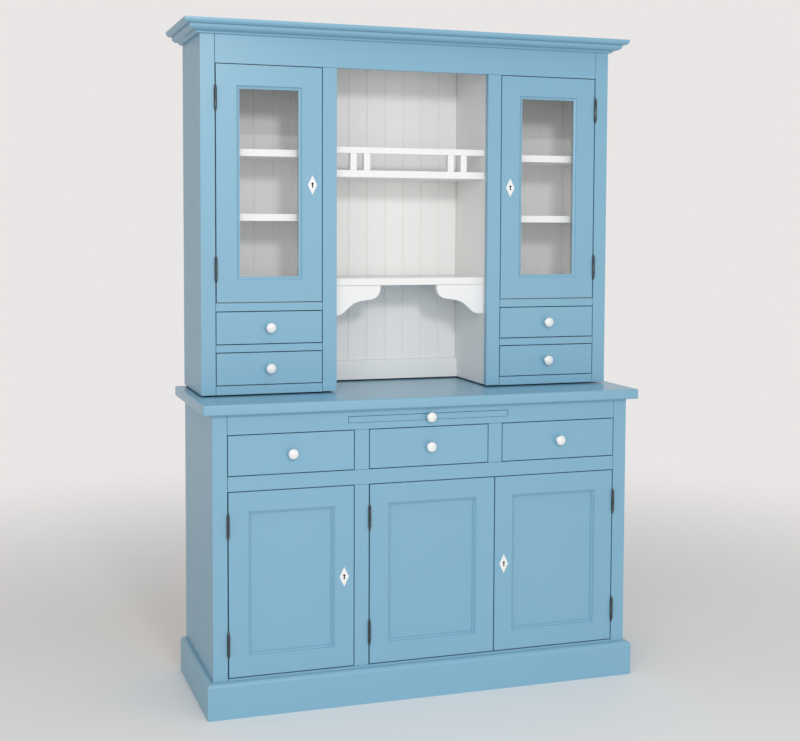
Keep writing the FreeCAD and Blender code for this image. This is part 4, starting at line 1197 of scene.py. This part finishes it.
@dataclass
class Carcass(Assembly):
    """The fixed joinery of the base and the hutch."""

    frame_seam: float = 0.0005
    lining: float = 0.0007
    top_coat: float = 0.0006
    rail_gap: float = 0.0012
    stile_gap: float = 0.0007
    outer_place: float = 0.6
    planed: float = 0.0004
    bracket_gap: float = 0.0008
    tallest_shelf: float = 0.05
    shelf_ease: float = 0.0012
    board_ease: float = 0.0008
    frame_depth: float = 0.0225
    drawer_deck_top: float = 1.19
    roof_low: float = 2.0

    def sides(self, node: str) -> None:
        """Paint a pair of sides blue, with white inner faces.

        Args:
            node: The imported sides.
        """
        inner = min(abs(end) for side in self.solids(node) for end in side.reach(Axis.X))
        lining = Zone(WHITE_COLOUR, ((Axis.X, -1.0, inner + self.lining),))
        paint = replace(BLUE, name=f"satin_blue_{node}", zones=(lining,))
        self.shop.eased(node, paint, self.frame_seam)

    def face_rails(self, part: str) -> None:
        """Finish the rails of one face frame, with a hairline where each meets a stile.

        Args:
            part: The base or the hutch.
        """
        stiles = self.solids(f"{part}_face_stiles")
        edges = [abs(end) for stile in stiles for end in stile.reach(Axis.X)]
        behind = min(stile.reach(Axis.Y)[0] for stile in stiles) + self.frame_depth / 2

        def rule(solid: Solid) -> Finish:
            """Blue for the rails, white for the stops behind them."""
            return BLUE if solid.reach(Axis.Y)[0] < behind else WHITE

        self.shop.eased(f"{part}_face_rails", rule, self.frame_seam, 0.0,
                        lambda solid: solid.pull_in(Axis.X, self.rail_gap, edges))

    def thin_back(self, solid: Solid) -> None:
        """Plane the rear of a back board down to its screws, and its edges to its neighbours."""
        solid.pull_in(Axis.Y, self.planed, (solid.reach(Axis.Y)[1],))
        solid.pull_in(Axis.X, self.planed)

    def open_brackets(self, solid: Solid) -> None:
        """Leave a hairline where a bracket meets the shelf over it.

        Args:
            solid: The shelf or a bracket.
        """
        low, high = solid.reach(Axis.Z)
        if high - low > self.tallest_shelf:
            solid.pull_in(Axis.Z, self.bracket_gap, (high,))

    def open_stiles(self, solid: Solid) -> None:
        """Leave a hairline where a stile between the two outer ones meets a rail."""
        if max(map(abs, solid.reach(Axis.X))) < self.outer_place:
            solid.pull_in(Axis.Z, self.stile_gap)

    def deck(self, solid: Solid) -> Finish:
        """Painted cupboard floors and roof; bare pine under and beside the drawers.

        Args:
            solid: A board of the decks.

        Returns:
            Its finish.
        """
        low, high = solid.reach(Axis.Z)
        if low > self.roof_low:
            return replace(WHITE, name="white_ceiling_blue_top", zones=(
                Zone(BLUE_COLOUR, ((Axis.Z, high - self.top_coat, high + 1.0),)),))
        return WHITE if high > self.drawer_deck_top else timber_of(solid)

    def make(self) -> None:
        """Finish each fixed board."""
        shop, seam = self.shop, self.frame_seam
        for part in ("base", "hutch"):
            shop.eased(f"{part}_face_stiles", BLUE, seam, trim=self.open_stiles)
            self.face_rails(part)
            self.sides(f"{part}_sides")
            shop.eased(f"{part}_partitions", WHITE, seam)
        shop.eased("base_shelves", WHITE, self.shelf_ease)
        first = min(board.reach(Axis.X) for board in self.solids("base_back_boards"))
        pine = Timber("waxed_pine_back_boards", Axis.Z, board=first[1] - first[0], first=first[0])
        shop.eased("base_back_boards", pine, self.board_ease, trim=self.thin_back)
        shop.eased("base_drawer_runners", timber_of, self.board_ease)
        shop.eased("countertop", WORKTOP_BLUE)
        shop.eased("plinth", BLUE)
        shop.eased("cornice", BLUE)
        shop.eased("hutch_decks", self.deck, self.board_ease)
        shop.eased("hutch_cabinet_shelves", WHITE, self.shelf_ease)
        shop.eased("plate_gallery", WHITE, self.board_ease)
        shop.eased("centre_shelf", WHITE, self.board_ease, trim=self.open_brackets)
        shop.eased("centre_skirting", WHITE)
        shop.eased("hutch_pads", FELT, self.board_ease)


@dataclass
class PlankedBack(Assembly):
    """The hutch's back: upright planks with V joints."""

    plank: float = 0.063
    bevel: float = 0.0026
    taper: float = 0.0004
    count: int = 20

    def make(self) -> None:
        """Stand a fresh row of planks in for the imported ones."""
        node = "hutch_back_boards"
        low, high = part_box(node)
        regular = self.plank * (self.count - 2)
        piece = PlankRow().make("hutch_planks", {
            "Count": self.count, "Width": self.plank,
            "End Width": (high.x - low.x - regular) / 2, "Thickness": high.y - low.y,
            "Height": high.z - low.z, "Bevel": self.bevel, "Taper": self.taper,
            "Front": low.y, "Foot": low.z, "Finish": WHITE.material()})
        self.shop.place(piece, node)


@dataclass
class BackScrews:
    """The rows of screws that hold the back boards to the decks and shelves behind them."""

    fixings: Fixings
    base_heights: tuple[float, ...] = (0.104, 0.698)
    side_heights: tuple[float, ...] = (0.9435, 1.192, 2.0232)
    centre_heights: tuple[float, ...] = (0.9435, 1.2595, 1.595, 2.0232)
    board_inset: float = 0.02
    sunk: float = 0.0004

    def make(self) -> None:
        """Set both groups."""
        fixings = self.fixings
        boxes = [solid.box() for solid in fixings.solids("base_back_boards")]
        edges = [x for low, high in boxes
                 for x in (low.x + self.board_inset, high.x - self.board_inset)]
        fixings.boards("base_back_boards", [(x, z) for x in edges for z in self.base_heights],
                       boxes[0][1].y - self.sunk)
        boxes = [solid.box() for solid in fixings.solids("hutch_back_boards")]
        middles = [(low.x + high.x) / 2 for low, high in boxes]
        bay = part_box("centre_shelf")[1].x
        fixings.boards("hutch_back_boards", [
            (x, z) for x in middles for z in (
                self.centre_heights if abs(x) < bay else self.side_heights)], boxes[0][1].y)


@dataclass
class Door(Assembly):
    """A panelled or glazed door with its hinges, lock and plate."""

    name: str
    leaf: str
    glazed: bool = False
    locked: bool = True
    ease: float = 0.0005
    seam: float = 0.0
    gap: float = 0.00055
    foot_gap: float = 0.0008
    keyhole: tuple[float, float] = (0.0045, 0.010)
    bolt_ease: float = 0.0004

    def with_painted_keyhole_shade(self, paint: Paint) -> Paint:
        """The same paint with painted shade on the walls of the keyhole: near black, standing in
        for the dark of the deep bore.

        Args:
            paint: Paint of the lock plate, or of the door, whose face the plate covers there.

        Returns:
            The paint with a zone of painted shade behind the plate's face: near black, rougher
            and metallic.
        """
        low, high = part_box(f"{self.name}_escutcheon")
        middle = (low + high) / 2
        half_wide, half_high = self.keyhole
        x = abs(middle.x)
        deep, inside, dulled = 0.0002, 1.0, 0.6
        # The keyhole zone is painted shade, near black where the deep bore lies in shadow.
        return replace(paint, name=f"{paint.name}_{self.name}_keyhole", zones=(
            Zone(KEYHOLE_PAINTED_SHADE, ((Axis.X, x - half_wide, x + half_wide),
                        (Axis.Y, low.y + deep, inside),
                        (Axis.Z, middle.z - half_high, middle.z + half_high)), dulled),))

    def make(self) -> None:
        """Finish the door's pieces."""
        shop = self.shop
        node = f"{self.name}_{self.leaf}"
        low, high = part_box(node)
        foot_gap = self.gap + (0.0 if self.glazed else self.foot_gap)

        def trim(solid: Solid) -> None:
            """Widen the gap round the door."""
            solid.pull_in(Axis.X, self.gap, (abs(low.x), abs(high.x)))
            solid.pull_in(Axis.Z, self.gap, (high.z,))
            solid.pull_in(Axis.Z, foot_gap, (low.z,))

        # Locked doors get painted shade in their keyhole.
        paint = self.with_painted_keyhole_shade(BLUE) if self.locked else BLUE
        shop.eased(node, paint, self.ease, self.seam, trim)
        shop.eased(f"{self.name}_hardware", lambda solid: Hardware.of(solid).value)
        if self.glazed:
            shop.finish(f"{self.name}_glass", PANE)
        if self.locked:
            shop.eased(f"{self.name}_escutcheon", self.with_painted_keyhole_shade(ENAMEL))
            shop.eased(f"{self.name}_lock_bolt", LOCK_BLACK, self.bolt_ease)
        else:
            shop.eased(f"{self.name}_slide_bolt", ZINC)


@dataclass
class Drawer(Assembly):
    """A drawer: a painted front on a bare pine box, with a knob."""

    name: str
    front: float = 0.020
    ease: float = 0.0005
    gap: float = 0.00045

    def make(self) -> None:
        """Finish the front, the box and the knob."""
        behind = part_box(self.name)[0].y + self.front / 4

        def rule(solid: Solid) -> Finish:
            """Paint for the front, bare pine behind it."""
            return BLUE if solid.reach(Axis.Y)[0] < behind else timber_of(solid)

        def trim(solid: Solid) -> None:
            """Widen the gap round the front."""
            if solid.reach(Axis.Y)[0] < behind:
                solid.pull_in(Axis.X, self.gap)
                solid.pull_in(Axis.Z, self.gap)

        self.shop.eased(self.name, rule, self.ease, trim=trim)
        Knob(self.shop, f"{self.name}_knob").make()


@dataclass
class Lamp:
    """A soft area lamp that looks at a point."""

    name: str
    place: Point
    target: Point
    size: tuple[float, float]
    watts: float

    def make(self) -> None:
        """Hang the lamp in the scene."""
        data = bpy.data.lights.new(self.name, "AREA")
        data.shape = "RECTANGLE"
        data.size, data.size_y = self.size
        data.energy = self.watts
        lamp = stand(self.name, data)
        lamp.location = self.place
        way = Vector(self.target) - Vector(self.place)
        lamp.rotation_euler = way.to_track_quat("-Z", "Y").to_euler()


@dataclass
class Studio:
    """Floor, surroundings, lamps and camera."""

    eye: Point = (-1.3672, -4.0927, 1.4390)
    yaw: float = -0.3318
    pitch: float = -0.0616
    roll: float = 0.0048
    lens: float = 61.39
    shift: tuple[float, float] = (-0.0245, -0.0774)
    backdrop: Colour = (0.815, 0.795, 0.785)
    mirrored: float = 0.90
    ambient: float = 0.485
    floor_size: float = 24.0

    def camera(self) -> None:
        """Set up the camera at the photograph's place."""
        data = bpy.data.cameras.new("camera")
        data.lens = self.lens
        data.shift_x, data.shift_y = self.shift
        data.clip_end = 60.0
        camera = stand("camera", data)
        camera.matrix_world = (
            Matrix.Translation(self.eye)
            @ Matrix.Rotation(self.yaw, 4, "Z")
            @ Matrix.Rotation(math.radians(90) + self.pitch, 4, "X")
            @ Matrix.Rotation(self.roll, 4, "Z"))
        bpy.context.scene.camera = camera

    def surroundings(self) -> None:
        """Even light from all round, with a pale backdrop for what is seen or mirrored."""
        world = bpy.data.worlds.new("surroundings")
        bpy.context.scene.world = world
        graph = Graph.emptied(world)
        rays = {name: Value(graph, socket)
                for name, socket in graph.add("ShaderNodeLightPath").outputs.items()}
        seen = graph.math("MAXIMUM", rays["Is Camera Ray"], rays["Is Transmission Ray"])
        surface = graph.add("ShaderNodeBackground", inputs={
            "Color": opaque((1.0, 1.0, 1.0)), "Strength": self.ambient})
        for share, strength in ((rays["Is Glossy Ray"], self.mirrored), (seen, 1.0)):
            pale = graph.add("ShaderNodeBackground", inputs={
                "Color": opaque(self.backdrop), "Strength": strength})
            surface = graph.add("ShaderNodeMixShader", inputs={
                0: share, 1: surface.outputs[0], 2: pale.outputs[0]})
        graph.add("ShaderNodeOutputWorld", inputs={"Surface": surface.outputs[0]})

    def ground(self) -> None:
        """A pale floor that fades into the backdrop far from the cabinet."""
        mesh = bmesh.new()
        bmesh.ops.create_grid(mesh, x_segments=8, y_segments=8, size=self.floor_size / 2)
        new_piece("floor", mesh, [PaleFloor()])

    def make(self) -> None:
        """Build the whole studio."""
        self.camera()
        self.surroundings()
        self.ground()
        for lamp in (
                Lamp("key_lamp", (-0.45, -4.8, 2.8), (0.0, 0.0, 1.0), (0.5, 0.5), 57.0),
                Lamp("left_key", (-2.3, -4.3, 2.0), (0.0, 0.0, 0.9), (2.6, 2.0), 45.0),
                Lamp("front_fill", (0.9, -5.3, 1.05), (0.0, 0.0, 0.8), (5.2, 2.0), 38.0),
                Lamp("top_lamp", (0.2, -1.3, 4.3), (0.1, -0.2, 0.9), (2.6, 1.6), 15.0)):
            lamp.make()
        bpy.context.scene.view_settings.view_transform = "Standard"


def main() -> None:
    """Dress the cabinet, piece by piece, and light it."""
    logging.basicConfig(level=logging.INFO, format="%(message)s")
    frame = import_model()
    shop = Workshop(frame)
    Carcass(shop).make()
    PlankedBack(shop).make()
    shop.eased("hinge_frame_leaves", IRON)
    fixings = Fixings(shop, FixingRow())
    fixings.pins()
    fixings.hardware("hinge_frame_leaves")
    for name in ("base_left", "base_middle", "base_right", "hutch_left", "hutch_right"):
        fixings.hardware(f"{name}_door_hardware")
    BackScrews(fixings).make()
    for name, locked in (("left", True), ("middle", False), ("right", True)):
        Door(shop, f"base_{name}_door", "leaf", locked=locked).make()
    for name in ("left", "right"):
        Door(shop, f"hutch_{name}_door", "frame", glazed=True).make()
    for name in ("base_left", "base_middle", "base_right", "hutch_left_lower",
                 "hutch_left_upper", "hutch_right_lower", "hutch_right_upper"):
        Drawer(shop, f"{name}_drawer").make()
    Drawer(shop, "pull_out_board", front=0.024, ease=0.0004, gap=0.0006).make()
    Studio().make()


if __name__ == "__main__":
    main()
